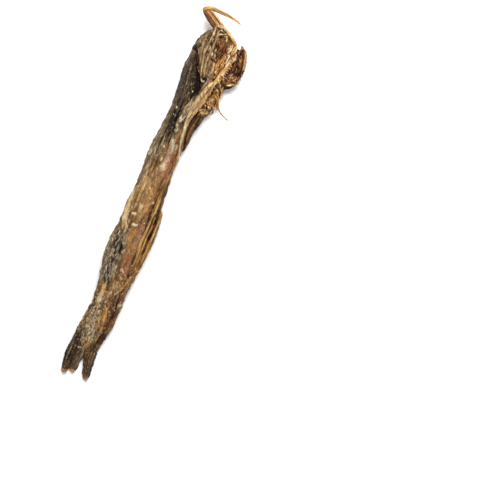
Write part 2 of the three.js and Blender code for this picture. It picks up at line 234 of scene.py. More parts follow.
def bent(places, route, length):
    """Where the points of a straight strip lie once it follows its route, upright all along"""
    shares = places[:, 1] / length
    centre = smooth_way(route, shares)
    within = clamp(shares)
    ahead = smooth_way(route, within + TURN_STEP) - smooth_way(route, within - TURN_STEP)
    ahead /= np.linalg.norm(ahead, axis=1)[:, None]
    beyond = np.where(shares < 0, shares, np.where(shares > 1, shares - 1, 0))
    side = np.cross(ahead, (0.0, 0.0, 1.0))
    side /= np.linalg.norm(side, axis=1)[:, None]
    up = np.cross(side, ahead)
    return centre + side * places[:, :1] + up * places[:, 2:] + ahead * (beyond * length)[:, None]


def skin_strip(name, route, half, sides=12, levels=3, pitch=RING_PITCH, end=END_ROUNDING, creases=(),
               relief=(), grain=0.0, ripple=0.03, ragged=0.06, rim=0.0, tone=None, seed=0.0, model=None):
    """A strip of dried skin or bone along a route, with the values that its material reads.

    half has (half width, half height) at each point of the route. A crease is (angle, drift, depth, spread),
    in degrees and shares of the radius, and its valley is darkened by painted shade. A relief is (width,
    length, depth, weight), and grain is the least depth of the puckers, in millimetres; a relief's weight is
    how much painted shade darkens the valleys of its folds. ripple and ragged are shares of the width, and
    the rim value is how dark the painted shade on the lower edges is. tone has the shares of the piece's own
    tones. With spots False the fish's spots leave it alone, and with smooth True the granular ones do. A
    model is a straight strip, 1 long and 1 to each side, that this one is a copy of."""
    length = way_length(route)
    if model is None:
        count = max(LEAST_RINGS, round(length / pitch) + 1)
        shares = np.linspace(0, 1, count)
        sizes = smooth_way(half, shares)
        to_end = clamp(np.minimum(shares, 1 - shares) / end)
        ends = END_SHARE + (1 - END_SHARE) * np.sqrt(to_end * (2 - to_end))
        rings = [
            (share * length, max(width * left, LEAST_HALF), max(height * left, LEAST_HALF))
            for share, (width, height), left in zip(shares, sizes, ends)
        ]
        piece = extruded_strip(name, rings, sides, levels)
        places = coordinates(piece)
    else:
        piece = copied(model, name)
        places = coordinates(piece) * (1.0, length, 1.0)
        places[:, (0, 2)] *= smooth_way(half, clamp(places[:, 1] / length))

    along = places[:, 1] / length
    size_here = smooth_way(half, clamp(along))
    across = places[:, 0] / size_here[:, 0]
    rise = places[:, 2] / size_here[:, 1]
    angle = np.degrees(np.arctan2(rise, across))
    swell = 1 + ripple * np.sin(along * len(route) * RIPPLES_PER_POINT + angle * RIPPLE_LEAN)
    side = np.sign(across) * NOTCHES_APART + seed * NOTCHES_STEP
    edge = np.column_stack([side, places[:, 1] / NOTCH_RUN, np.zeros(len(places))])
    torn = 1 + ragged * 2 * wander(edge) + ragged * wander(edge * SMALL_NOTCHES)
    # Painted shade, kept for the material: darker towards the lower edges and in the creases here, and in the
    # valleys of the reliefs further on
    crest_shading = 1 - rim * clamp((RIM_TOP - rise) * RIM_STEEPNESS)
    for spot, drift, depth, spread in creases:
        apart = (angle - spot - drift * along + 180) % 360 - 180
        dip = np.exp(-(apart / spread) ** 2)
        swell -= depth * dip
        crest_shading -= CREASE_SHADE * dip * min(1.0, depth * CREASE_STEEPNESS)
    places[:, 0] *= swell * torn
    places[:, 2] *= swell
    move_to(piece, places)

    middle = float(np.mean([width + height for width, height in half])) / 2
    flow = np.column_stack([across * middle, places[:, 1], rise * middle]) + seed * PATTERN_STEP
    outward = normals(piece)
    shares = tone_shares(bent(places, route, length), tone or {})
    rise_by = np.zeros(len(places))
    for width, run, depth, weight in relief:
        height = folds(flow / (width, run, width))
        rise_by += (height - 0.5) * depth
        # painted shade in the valleys of the folds
        crest_shading *= 1 - weight * (1 - height)
    pucker, granule = grains(flow / PUCKER)
    rise_by += (pucker - PUCKER_MIDDLE) * (grain + GRANULE_DEPTH * shares["granular"])
    places += outward * rise_by[:, None]
    read = {"flow": flow, "crest_shading": clamp(crest_shading), "pucker": pucker, "granule": granule, **shares}
    for value, found in read.items():
        keep_values(piece, value, found)
    places = bent(places, route, length)
    places[:, 2] = np.maximum(places[:, 2], FLOOR_SKIM)
    move_to(piece, places)
    return piece


# Where the fish has each tone, and granular skin: (x, y, half width, half length, turn, strength). The turn
# is in degrees and takes the spot's upper end to the left.
SPOTS = {
    "olive": [
        (-6.0, 82, 8.4, 27, 4, 1.0), (-3.6, 56, 6.0, 17, 0, 1.0), (2, -110, 6, 11, 0, 1.0),
    ],
    "moss": [
        (-5.4, 34, 3.2, 24, 0, 1.0), (-1.5, 40, 4.4, 10, 0, 0.8), (-4.0, 17, 2.6, 9, 0, 0.7),
        (-7, 110, 3, 7, 14, 0.8), (1, -58, 5, 6, 0, 0.7), (-1.6, -49, 3.6, 8, 0, 0.7),
        (4.2, -34, 1.2, 10, 4, 0.7), (4.4, -48, 1.6, 10, 0, 0.8),
    ],
    "straw": [
        (-0.4, 8, 3.0, 15, 8, 0.9), (5, 40, 3.0, 10, 0, 1.0), (4.6, 20, 2.6, 9, 0, 0.4),
        (7.4, -60, 3.8, 7, 0, 0.7), (-2.0, 110, 3.0, 12, 14, 0.5), (5.0, 0, 3.4, 12, 0, 0.6),
        (3.8, -88, 4.2, 13, 0, 1.0),
    ],
    "rust": [
        (6.5, 32, 4.2, 20, 0, 0.9), (7.4, 2, 3.0, 22, 3, 0.45), (10.0, -40, 5, 13, 0, 0.9),
        (11.4, 52, 3, 12, 0, 0.7), (21, 105, 7, 14, 0, 0.6), (-0.4, -122.6, 3.2, 2.2, 0, 1.0),
        (4.2, -120.4, 3.0, 2.0, 0, 1.0), (14.6, -121.6, 3, 2.4, 0, 1.0), (5.0, -24, 2.0, 7, 4, 0.4),
        (-4.0, -42, 1.6, 7, 0, 0.4), (12.8, -74, 3.4, 15, 0, 0.7), (11.8, 96.8, 1.7, 2.8, 0, 1.0),
        (12.6, 103.6, 0.8, 2.6, 0, 0.8), (14.0, 92, 1.0, 1.6, 0, 0.6), (3, -111, 7, 9, 0, 0.15),
        # these four rust spots are painted shade on the sides of the throat's ridges
        (8.9, 79.6, 0.5, 6, -14, 0.7), (12.9, 78.4, 0.6, 5, -14, 0.7), (10.9, 75.0, 0.5, 1.6, -10, 0.7),
        (9.4, 67.4, 0.5, 2.6, -14, 0.6),
    ],
    "blush": [
        (9.2, 28, 2.6, 12, 0, 0.8), (6.0, -10, 3.2, 6, 0, 0.2), (9, -20, 1.2, 6, 2, 0.9),
        (6.0, 3, 2.2, 2.2, 0, 0.5), (9.6, -46, 3, 5, 0, 0.5),
    ],
    "amber": [
        (6.4, 2, 3.0, 11, 0, 0.3), (4.6, -25, 1.7, 8, 5, 0.3), (12.2, -10, 1.4, 14, 0, 0.8),
        (13.2, -28, 1.5, 14, 4, 0.7), (17.4, -22, 1.2, 20, 0, 0.9), (13.6, -54, 0.9, 5.5, -16, 1.0),
        (9.6, -81, 1.7, 7.5, 8, 0.6), (5.5, -97, 3, 7, 0, 0.5), (-0.4, -123.0, 2.8, 2.0, 0, 0.5),
        (4.2, -120.8, 2.8, 1.8, 0, 0.5), (15.2, -122.0, 3, 2.4, 0, 0.5), (-3.8, 4, 0.9, 9, 0, 0.5),
        (11.2, 82, 2.4, 9, -14, 0.85), (1.5, -61, 2.0, 5, 0, 1.0), (4.6, -90, 3.2, 11, 0, 0.4),
        (5.6, -99, 2.6, 4.6, 0, 0.6), (24.6, 108.6, 2.2, 3.2, 20, 0.6), (6.6, -92, 1.6, 8, 0, 0.4),
    ],
    "cream": [
        (17.6, -14, 0.5, 8, 0, 0.4), (9.8, 76, 1.7, 8, -14, 0.6), (8.0, 62, 1.1, 6, 0, 0.5),
        (11.8, 84, 1.0, 5, -14, 0.5), (2.0, -69.5, 1.9, 5.4, 0, 1.0), (-4.8, -8, 1.5, 13, 6, 0.5),
        (0.2, -22, 1.4, 8, 20, 0.7), (5.4, 41.6, 2.0, 3.0, 0, 0.85), (5.2, 25.4, 1.7, 2.2, 0, 0.6),
        (2.4, 30, 0.9, 1.1, 0, 0.8), (3.0, 54, 1.5, 2.8, 0, 0.6), (-2.4, 64.5, 0.5, 1.0, 0, 0.9),
        (-1.6, 41, 0.5, 4.4, 14, 0.6), (-6.6, 31.5, 0.9, 2.2, 0, 0.7), (-1.0, 59, 0.5, 1.0, 0, 0.7),
        (0.2, 37.8, 0.9, 1.0, 0, 0.7), (0.4, -9.6, 1.4, 1.0, 0, 1.0), (3.7, -16.2, 1.7, 1.0, 0, 1.0),
        (8.6, 1.6, 0.7, 0.7, 0, 1.0), (3.4, -3.8, 0.6, 1.3, 0, 0.9), (3.4, 9.4, 0.6, 0.7, 0, 0.6),
        (15.4, -68.8, 1.5, 2.0, 0, 0.7), (-2.6, -108, 0.6, 8, 0, 0.35), (5.6, -107, 0.8, 5, 6, 0.3),
        (4.6, -90, 3.0, 11, 0, 0.9), (8.0, 52, 1.2, 9, 8, 1.0), (10.6, 38, 0.7, 6, 12, 0.8),
        # these four cream spots are painted highlights on the throat
        (11.3, 80.6, 0.8, 3.0, -14, 0.9), (12.0, 86.6, 0.9, 2.0, -10, 0.8),
        (9.6, 71.6, 0.8, 2.0, -10, 0.8), (8.0, 66.8, 0.7, 1.6, 0, 0.8),
    ],
    "grey": [
        (-2.4, -38, 5.2, 15, 0, 0.85), (1.4, -50, 4.0, 8, 0, 0.9), (1.0, -80, 1.6, 8, 0, 0.5),
        (4.2, 69, 1.6, 8, 0, 0.7), (-1.8, 19.5, 0.9, 3, 0, 0.5), (5.6, -110, 1.2, 7, 0, 0.4),
    ],
    "chalk": [
        (5.6, 40, 2.4, 8, 0, 0.5), (5.0, 30, 1.8, 5, 0, 0.25), (4.4, 20, 0.8, 6, 10, 0.3),
        (3.2, 59.4, 1.3, 2.0, 0, 0.7), (-8, 97, 0.5, 4, 0, 0.3), (-0.6, -50, 2.8, 7, 0, 0.5),
        (3.0, -86, 2.4, 8, 0, 0.4), (5.8, 71, 0.5, 5, 0, 0.5),
    ],
    # The darkest tone: dark skin, and painted shade in the gaps, holes and slits between the strips and at
    # the body's outer edge
    "soot": [
        (0.6, 54, 0.9, 10, 0, 1.0), (24.6, 101.6, 3.2, 3.0, 0, 0.8), (21.6, 113.6, 0.8, 2.2, 0, 1.0),
        (18.6, 97.6, 1.4, 5.6, 0, 0.8), (22.4, 88.6, 3.4, 2.2, -24, 0.8), (3.2, 81.6, 3.2, 7.5, 0, 1.0),
        (-1.6, 88, 1.7, 12, 8, 0.75), (12.4, -68, 2.2, 7, 0, 0.5), (12.4, -80, 1.6, 7, 0, 0.5),
        (14.4, -92, 2.6, 6, 0, 0.8), (0.2, -109, 1.1, 11, 0, 0.9), (15.4, -21, 0.9, 11, 0, 1.0),
        (10.4, -8, 0.6, 9, 4, 0.9), (13.4, -16, 0.4, 9, 2, 0.7), (13.5, 5, 0.7, 10, 4, 0.5),
        (14.6, -8, 0.8, 8, 4, 0.9), (10.0, 9, 0.4, 5, 2, 0.5), (-1.4, 50, 1.6, 6, 0, 0.35),
        (1.2, -33, 1.2, 4.4, 14, 1.0), (-2.6, -30, 0.6, 5, 20, 0.8), (-1.6, -34, 2.4, 7, 10, 0.35),
        (13.4, 41.6, 1.2, 2.4, 0, 0.9), (-4.4, -108, 0.9, 14, 0, 0.9), (-7.0, 104.5, 3.0, 1.0, -24, 1.0),
        (0.9, 58, 0.6, 17, 5, 1.0), (14.4, 56, 0.8, 10, 4, 0.9), (11.3, 94.2, 0.6, 1.3, 0, 0.9),
        (12.4, 98.4, 0.5, 0.8, 0, 0.8), (-2, -109, 3.4, 11, 0, 0.65), (0.8, -75.6, 1.6, 0.7, -20, 0.9),
    ],
    "granular": [
        (-2.0, -40, 7, 20, 0, 1.0), (6, -76, 13, 27, 0, 1.0), (8, -48, 8, 10, 0, 0.7),
        (3.2, 56, 2.0, 8, 0, 0.6), (-3, 36, 5, 30, 0, 0.35), (-3.0, 2, 3, 14, 4, 0.35),
        (2, 114, 8, 10, 0, 0.5), (4, -104, 6, 6, 0, 0.3),
    ],
}
UPPER_TONES = ("blush", "amber", "cream", "chalk")      # these fade towards the lower side


def tone_shares(places, own):
    """How much of each tone there is at each point: that of the fish's spots, and the piece's own"""
    shares = {tone: np.full(len(places), float(own.get(tone, 0.0))) for tone in SPOTS}
    if not own.get("spots", True):
        return shares
    astray = wander(places / SPOT_WAVES) + FRAY_SHARE * wander(places / SPOT_FRAY + FRAY_START)
    upper = LOWER_SHARE + (1 - LOWER_SHARE) * clamp((places[:, 2] - FADE_HEIGHT) / FADE_RUN)
    for tone, spots in SPOTS.items():
        if tone == "granular" and own.get("smooth"):
            continue
        for x, y, half_width, half_length, turn, strength in spots:
            lean = math.radians(turn)
            over, ahead = places[:, 0] - x, places[:, 1] - y
            apart = np.hypot((over * math.cos(lean) + ahead * math.sin(lean)) / half_width,
                             (ahead * math.cos(lean) - over * math.sin(lean)) / half_length)
            share = strength * clamp((SPOT_REACH + SPOT_STRAY * astray - apart) * SPOT_STEEPNESS)
            if tone in UPPER_TONES:
                share *= upper
            shares[tone] = np.maximum(shares[tone], share)
    return shares


class Lie:
    """The upper side of the pieces that are laid so far"""

    def __init__(self, pieces):
        spots, faces = [], []
        for piece in pieces:
            piece.data.calc_loop_triangles()
            corners = np.zeros(len(piece.data.loop_triangles) * 3, dtype=np.int32)
            piece.data.loop_triangles.foreach_get("vertices", corners)
            faces.extend((corners.reshape(-1, 3) + len(spots)).tolist())
            spots.extend(coordinates(piece).tolist())
        self.tree = BVHTree.FromPolygons(spots, faces, all_triangles=True)

    def height(self, x, y, reach=0.5):
        """The height of the upper side, or None beside the fish"""
        found = []
        for dx, dy in ((0, 0), (reach, 0), (-reach, 0), (0, reach), (0, -reach)):
            hit = self.tree.ray_cast((x + dx, y + dy, SKY), (0, 0, -1))[0]
            if hit is not None:
                found.append(hit.z)
        return sum(found) / len(found) if found else None

    def over(self, way, step=2.4):
        """The way (x, y, lift) with more points, each laid on the upper side and lifted. A point beside the
        fish is as high as the nearest one on it."""
        count = max(len(way), round(way_length(way) / step) + 1)
        spots = smooth_way(way, np.linspace(0, 1, count))
        heights = [self.height(x, y) for x, y, _ in spots]
        known = [i for i, height in enumerate(heights) if height is not None]
        laid = []
        for i, (x, y, lift) in enumerate(spots):
            nearest = min(known, key=lambda k: abs(k - i)) if known else None
            laid.append((x, y, max((heights[nearest] if known else 0.0) + lift, LEAST_LIE)))
        return laid


# Shader maths as Python expressions

class Wire:
    """A socket of a finish. Sums and products on it add Math nodes."""

    def __init__(self, finish, socket):
        self.finish = finish
        self.socket = socket

    def __add__(self, other):
        return self.finish.math("ADD", self, other)

    __radd__ = __add__

    def __sub__(self, other):
        return self.finish.math("SUBTRACT", self, other)

    def __rsub__(self, other):
        return self.finish.math("SUBTRACT", other, self)

    def __mul__(self, other):
        return self.finish.math("MULTIPLY", self, other)

    __rmul__ = __mul__

    def between(self, low, high):
        """0 below low, 1 above high and smooth between"""
        node = self.finish.node("ShaderNodeMapRange", {"interpolation_type": "SMOOTHSTEP"},
                                {"Value": self, "From Min": low, "From Max": high})
        return node.out("Result")


class Node:
    """A node of a finish, with its outputs as wires"""

    def __init__(self, finish, node):
        self.finish = finish
        self.node = node

    def out(self, name=0):
        return Wire(self.finish, self.node.outputs[name])


class Finish:
    """A material under construction"""

    def __init__(self, name):
        self.material = bpy.data.materials.new(name)
        self.material.use_nodes = True
        self.tree = self.material.node_tree
        self.shader = self.tree.nodes["Principled BSDF"]
        self.shader.inputs["Specular IOR Level"].default_value = DRY_SHINE
        self.shader.inputs["Coat Roughness"].default_value = GLINT_ROUGHNESS

    def join(self, value, socket):
        if isinstance(value, Wire):
            self.tree.links.new(value.socket, socket)
        elif hasattr(socket.default_value, "__len__") and len(socket.default_value) == 4:
            socket.default_value = (*value, 1.0)
        else:
            socket.default_value = value

    def node(self, kind, settings=None, values=None):
        made = self.tree.nodes.new(kind)
        for name, value in (settings or {}).items():
            setattr(made, name, value)
        for name, value in (values or {}).items():
            self.join(value, made.inputs[name])
        return Node(self, made)

    def math(self, operation, a, b):
        return self.node("ShaderNodeMath", {"operation": operation}, {0: a, 1: b}).out()

    def blend(self, share, a, b, kind="MIX"):
        """Colour a, turned into colour b by a share"""
        made = self.node("ShaderNodeMix", {"data_type": "RGBA", "blend_type": kind})
        self.join(share, made.node.inputs[MIX_SHARE])
        self.join(a, made.node.inputs[MIX_A])
        self.join(b, made.node.inputs[MIX_B])
        return made.out(MIX_RESULT)

    def toned(self, colour, share, tones):
        """The colour, turned to each tone's own dark and light where the piece has that tone"""
        for name, (dark, light) in tones.items():
            colour = self.blend(self.value(name), colour, self.blend(share, tint(*dark), tint(*light)))
        return colour

    def value(self, name):
        return self.node("ShaderNodeAttribute", {"attribute_name": name}).out("Fac")

    def flow(self, *stretch):
        """The place on the piece, in millimetres along it and round it, squeezed by stretch"""
        place = self.node("ShaderNodeAttribute", {"attribute_name": "flow"}).out("Vector")
        return self.node("ShaderNodeVectorMath", {"operation": "MULTIPLY"}, {0: place, 1: stretch}).out()

    def noise(self, vector, detail=2.0, roughness=0.5):
        values = {"Vector": vector, "Scale": 1.0, "Detail": detail, "Roughness": roughness}
        return self.node("ShaderNodeTexNoise", {}, values).out(0)

    def cells(self, vector):
        return self.node("ShaderNodeTexVoronoi", {}, {"Vector": vector, "Scale": 1.0}).out("Distance")

    def bump(self, height, distance, strength=1.0, normal=None):
        values = {"Height": height, "Distance": distance, "Strength": strength}
        if normal is not None:
            values["Normal"] = normal
        return self.node("ShaderNodeBump", {}, values).out()

    def finished(self, **sockets):
        for name, value in sockets.items():
            self.join(value, self.shader.inputs[name.replace("_", " ").title()])
        return self.material


def tint(*screen):
    """A screen colour, its red, green and blue from 0 to 255, as the shader's own light values"""
    return tuple((c / 255 / 12.92) if c <= 10 else ((c / 255 + 0.055) / 1.055) ** 2.4 for c in screen)


# The dark and the light of each tone, as colours on a screen. Later tones cover earlier ones.
SKIN_TONES = {
    "olive": ((32, 26, 20), (96, 80, 63)),
    "moss": ((76, 64, 42), (148, 128, 96)),
    "straw": ((112, 80, 42), (218, 176, 121)),
    "rust": ((90, 52, 23), (166, 110, 58)),
    "blush": ((106, 62, 38), (178, 122, 86)),
    "amber": ((124, 72, 20), (232, 172, 89)),
    "cream": ((166, 134, 88), (246, 226, 182)),
    "grey": ((46, 36, 24), (196, 174, 134)),
    "chalk": ((118, 100, 80), (214, 200, 178)),
    # the darkest tone, for dark skin and for painted shade in gaps and holes
    "soot": ((9, 6, 3), (44, 29, 19)),
}
BONE_TONES = {
    "rust": ((66, 34, 13), (126, 74, 34)),
    "amber": ((108, 70, 32), (196, 146, 81)),
    "blush": ((158, 94, 63), (212, 154, 113)),
    "cream": ((172, 132, 75), (236, 212, 154)),
    "chalk": ((166, 142, 116), (226, 212, 192)),
    "soot": ((30, 16, 9), (78, 46, 28)),
}
GILL_TONES = {
    "amber": ((96, 56, 20), (180, 122, 58)),
    "blush": ((134, 78, 46), (204, 148, 101)),
    "cream": ((168, 128, 78), (238, 212, 156)),
    "chalk": ((158, 130, 104), (220, 204, 182)),
    "soot": ((10, 5, 2), (38, 20, 10)),
}


def dried_skin():
    """Wrinkled skin: brown over the whole fish, turned to each tone where the fish has it"""
    look = Finish("dried_skin")
    streak = look.noise(look.flow(0.8, 0.1, 0.8), 3.0, 0.6)
    thread = look.noise(look.flow(2.6, 0.4, 2.6), 3.0, 0.6)
    blotch = look.noise(look.flow(0.4, 0.17, 0.4), 3.0, 0.55)
    mottle = look.noise(look.flow(1.7, 0.9, 1.7), 3.0, 0.65)
    fine = look.noise(look.flow(3.4, 2.0, 3.4), 4.0, 0.7)
    speck = look.cells(look.flow(1.1, 0.8, 1.1))
    crest_shading = look.value("crest_shading")
    pucker = look.value("pucker")
    granule = look.value("granule")
    granular = look.value("granular")

    # Tones, with the light share from the noises and, on granular skin, from its cells too
    share = (streak * 0.34 + blotch * 0.34 + thread * 0.32).between(0.36, 0.64)
    share = share * (1.0 - granular * 0.45) + granule * granular * 0.45
    colour = look.toned(look.blend(share, tint(72, 47, 23), tint(158, 115, 67)), share, SKIN_TONES)
    dulled = mottle.between(0.42, 0.62) * (granular * 0.22 + 0.14)
    colour = look.blend(dulled, colour, tint(150, 130, 112), "MULTIPLY")

    # Painted shade in the creases, the folds' valleys and on the lower edges, painted shade in the furrows
    # between the puckers, and pale granules
    colour = look.blend((1.0 - crest_shading.between(0.15, 0.66)) * 0.92, colour, tint(22, 13, 8))
    furrow_shade = (1.0 - pucker.between(0.05, 0.5)) * (granular * 0.44 + 0.14)
    colour = look.blend(furrow_shade, colour, tint(32, 20, 12))
    pale = granule.between(0.5, 1.0) * pucker.between(0.2, 0.8)
    colour = look.blend(pale * (granular * 0.6 + 0.08), colour, tint(218, 192, 150))

    # Painted highlights on the crests, and pale chips
    crest_highlight = crest_shading.between(0.7, 0.98) * (1.0 - mottle.between(0.36, 0.5)) * 0.36
    colour = look.blend(crest_highlight, colour, tint(222, 190, 143))
    chip = (1.0 - speck.between(0.1, 0.22)) * blotch.between(0.5, 0.6)
    colour = look.blend(chip * 0.6, colour, tint(232, 212, 179))

    normal = look.bump(fine, distance=0.0009)
    normal = look.bump(thread, distance=0.0008, strength=0.8, normal=normal)
    glint = crest_shading.between(0.5, 0.95) * (1.0 - look.value("soot")) * mottle.between(0.4, 0.6) * 0.5
    return look.finished(base_color=colour, roughness=0.26 + mottle * 0.34, coat_weight=glint, normal=normal)


def dried_bone():
    """Jaw bone: orange tan and smooth, with long grooves, and painted shade in its hollows"""
    look = Finish("dried_bone")
    grain = look.noise(look.flow(1.8, 0.16, 1.8), 3.0, 0.6)
    spots = look.noise(look.flow(0.6, 0.3, 0.6), 3.0, 0.55)
    crest_shading = look.value("crest_shading")
    share = grain.between(0.35, 0.65)
    colour = look.blend(share, tint(112, 62, 23), tint(208, 143, 72))
    colour = look.blend(spots.between(0.48, 0.64) * 0.6, colour, tint(92, 50, 20))
    colour = look.toned(colour, share, BONE_TONES)
    # painted shade in the hollows and on the lower edges
    colour = look.blend((1.0 - crest_shading.between(0.15, 0.6)) * 0.85, colour, tint(44, 24, 11))
    normal = look.bump(grain, distance=0.0005, strength=0.7)
    glint = crest_shading.between(0.5, 0.95) * 0.35
    return look.finished(base_color=colour, roughness=0.3 + spots * 0.3, coat_weight=glint, normal=normal)


def dried_gill():
    """Gill and inner mouth: dark red brown, with torn edges of paler pink tan, and painted shade in its
    creases and furrows
    """
    look = Finish("dried_gill")
    shred = look.noise(look.flow(1.3, 0.4, 1.3), 3.0, 0.65)
    knots = look.noise(look.flow(1.6, 1.4, 1.6), 3.0, 0.6)
    crest_shading = look.value("crest_shading")
    pucker = look.value("pucker")
    share = shred.between(0.35, 0.65)
    colour = look.toned(look.blend(share, tint(44, 20, 8), tint(120, 70, 32)), share, GILL_TONES)
    pale = pucker.between(0.5, 0.85) * knots.between(0.5, 0.64)
    colour = look.blend(pale * 0.55, colour, tint(196, 144, 93))
    # painted shade in the creases and on the lower edges, then in the furrows between the puckers
    colour = look.blend((1.0 - crest_shading.between(0.1, 0.55)) * 0.85, colour, tint(24, 11, 6))
    colour = look.blend((1.0 - pucker.between(0.04, 0.3)) * 0.5, colour, tint(30, 14, 8))
    normal = look.bump(knots, distance=0.0007, strength=0.9)
    glint = crest_shading.between(0.5, 0.95) * (1.0 - look.value("soot")) * knots.between(0.4, 0.6) * 0.5
    return look.finished(base_color=colour, roughness=0.3 + shred * 0.3, coat_weight=glint, normal=normal)


def salt_fleck():
    """A dry pale fleck"""
    look = Finish("salt_fleck")
    lump = look.noise(look.flow(2.0, 2.0, 2.0))
    colour = look.blend(lump.between(0.35, 0.6), tint(140, 116, 82), tint(216, 196, 156))
    normal = look.bump(lump, distance=0.0004, strength=0.8)
    return look.finished(base_color=colour, roughness=0.6, normal=normal)


FINISHES = {
    "dried_skin": dried_skin(),
    "dried_bone": dried_bone(),
    "dried_gill": dried_gill(),
    "salt_fleck": salt_fleck(),
}

# Reliefs: (width, length, depth, weight), in millimetres; the weight is how much painted shade darkens the
# valleys of the folds
SHRIVELLED = ((3.6, 30.0, 0.8, 0.4), (1.5, 7.0, 0.3, 0.2))
TIGHT = ((2.2, 18.0, 0.42, 0.4), (1.0, 5.0, 0.2, 0.25))
BONY = ((1.2, 14.0, 0.2, 0.4),)
SHREDDED = ((1.3, 4.0, 0.5, 0.6), (0.8, 1.8, 0.22, 0.3))

# Tones that several strips share
# black painted shade in holes, slits and gaps
BLACK_SHADE = {"soot": 1.0}
# black painted shade, free of the fish's own spots
HOLLOW_SHADE = {"soot": 1.0, "spots": False}
CRUMPLED = {"grey": 0.8, "chalk": 0.35, "granular": 0.5}
LOBE_TONE = {"olive": 0.9, "soot": 0.45}
THREAD_TONE = {"amber": 0.8, "cream": 0.3, "spots": False}
TOOTH_TONE = {"cream": 0.4, "blush": 0.8, "spots": False}


def strip_lister(finish):
    """Lists a strip of the finish: its name, its tones, its route, its half sizes, and the rest of what
    skin_strip takes"""
    def listed(name, tone, route, half, **rest):
        return dict(name=name, finish=finish, tone=tone, route=route, half=half, **rest)
    return listed


skin = strip_lister("dried_skin")
bone = strip_lister("dried_bone")
gill = strip_lister("dried_gill")

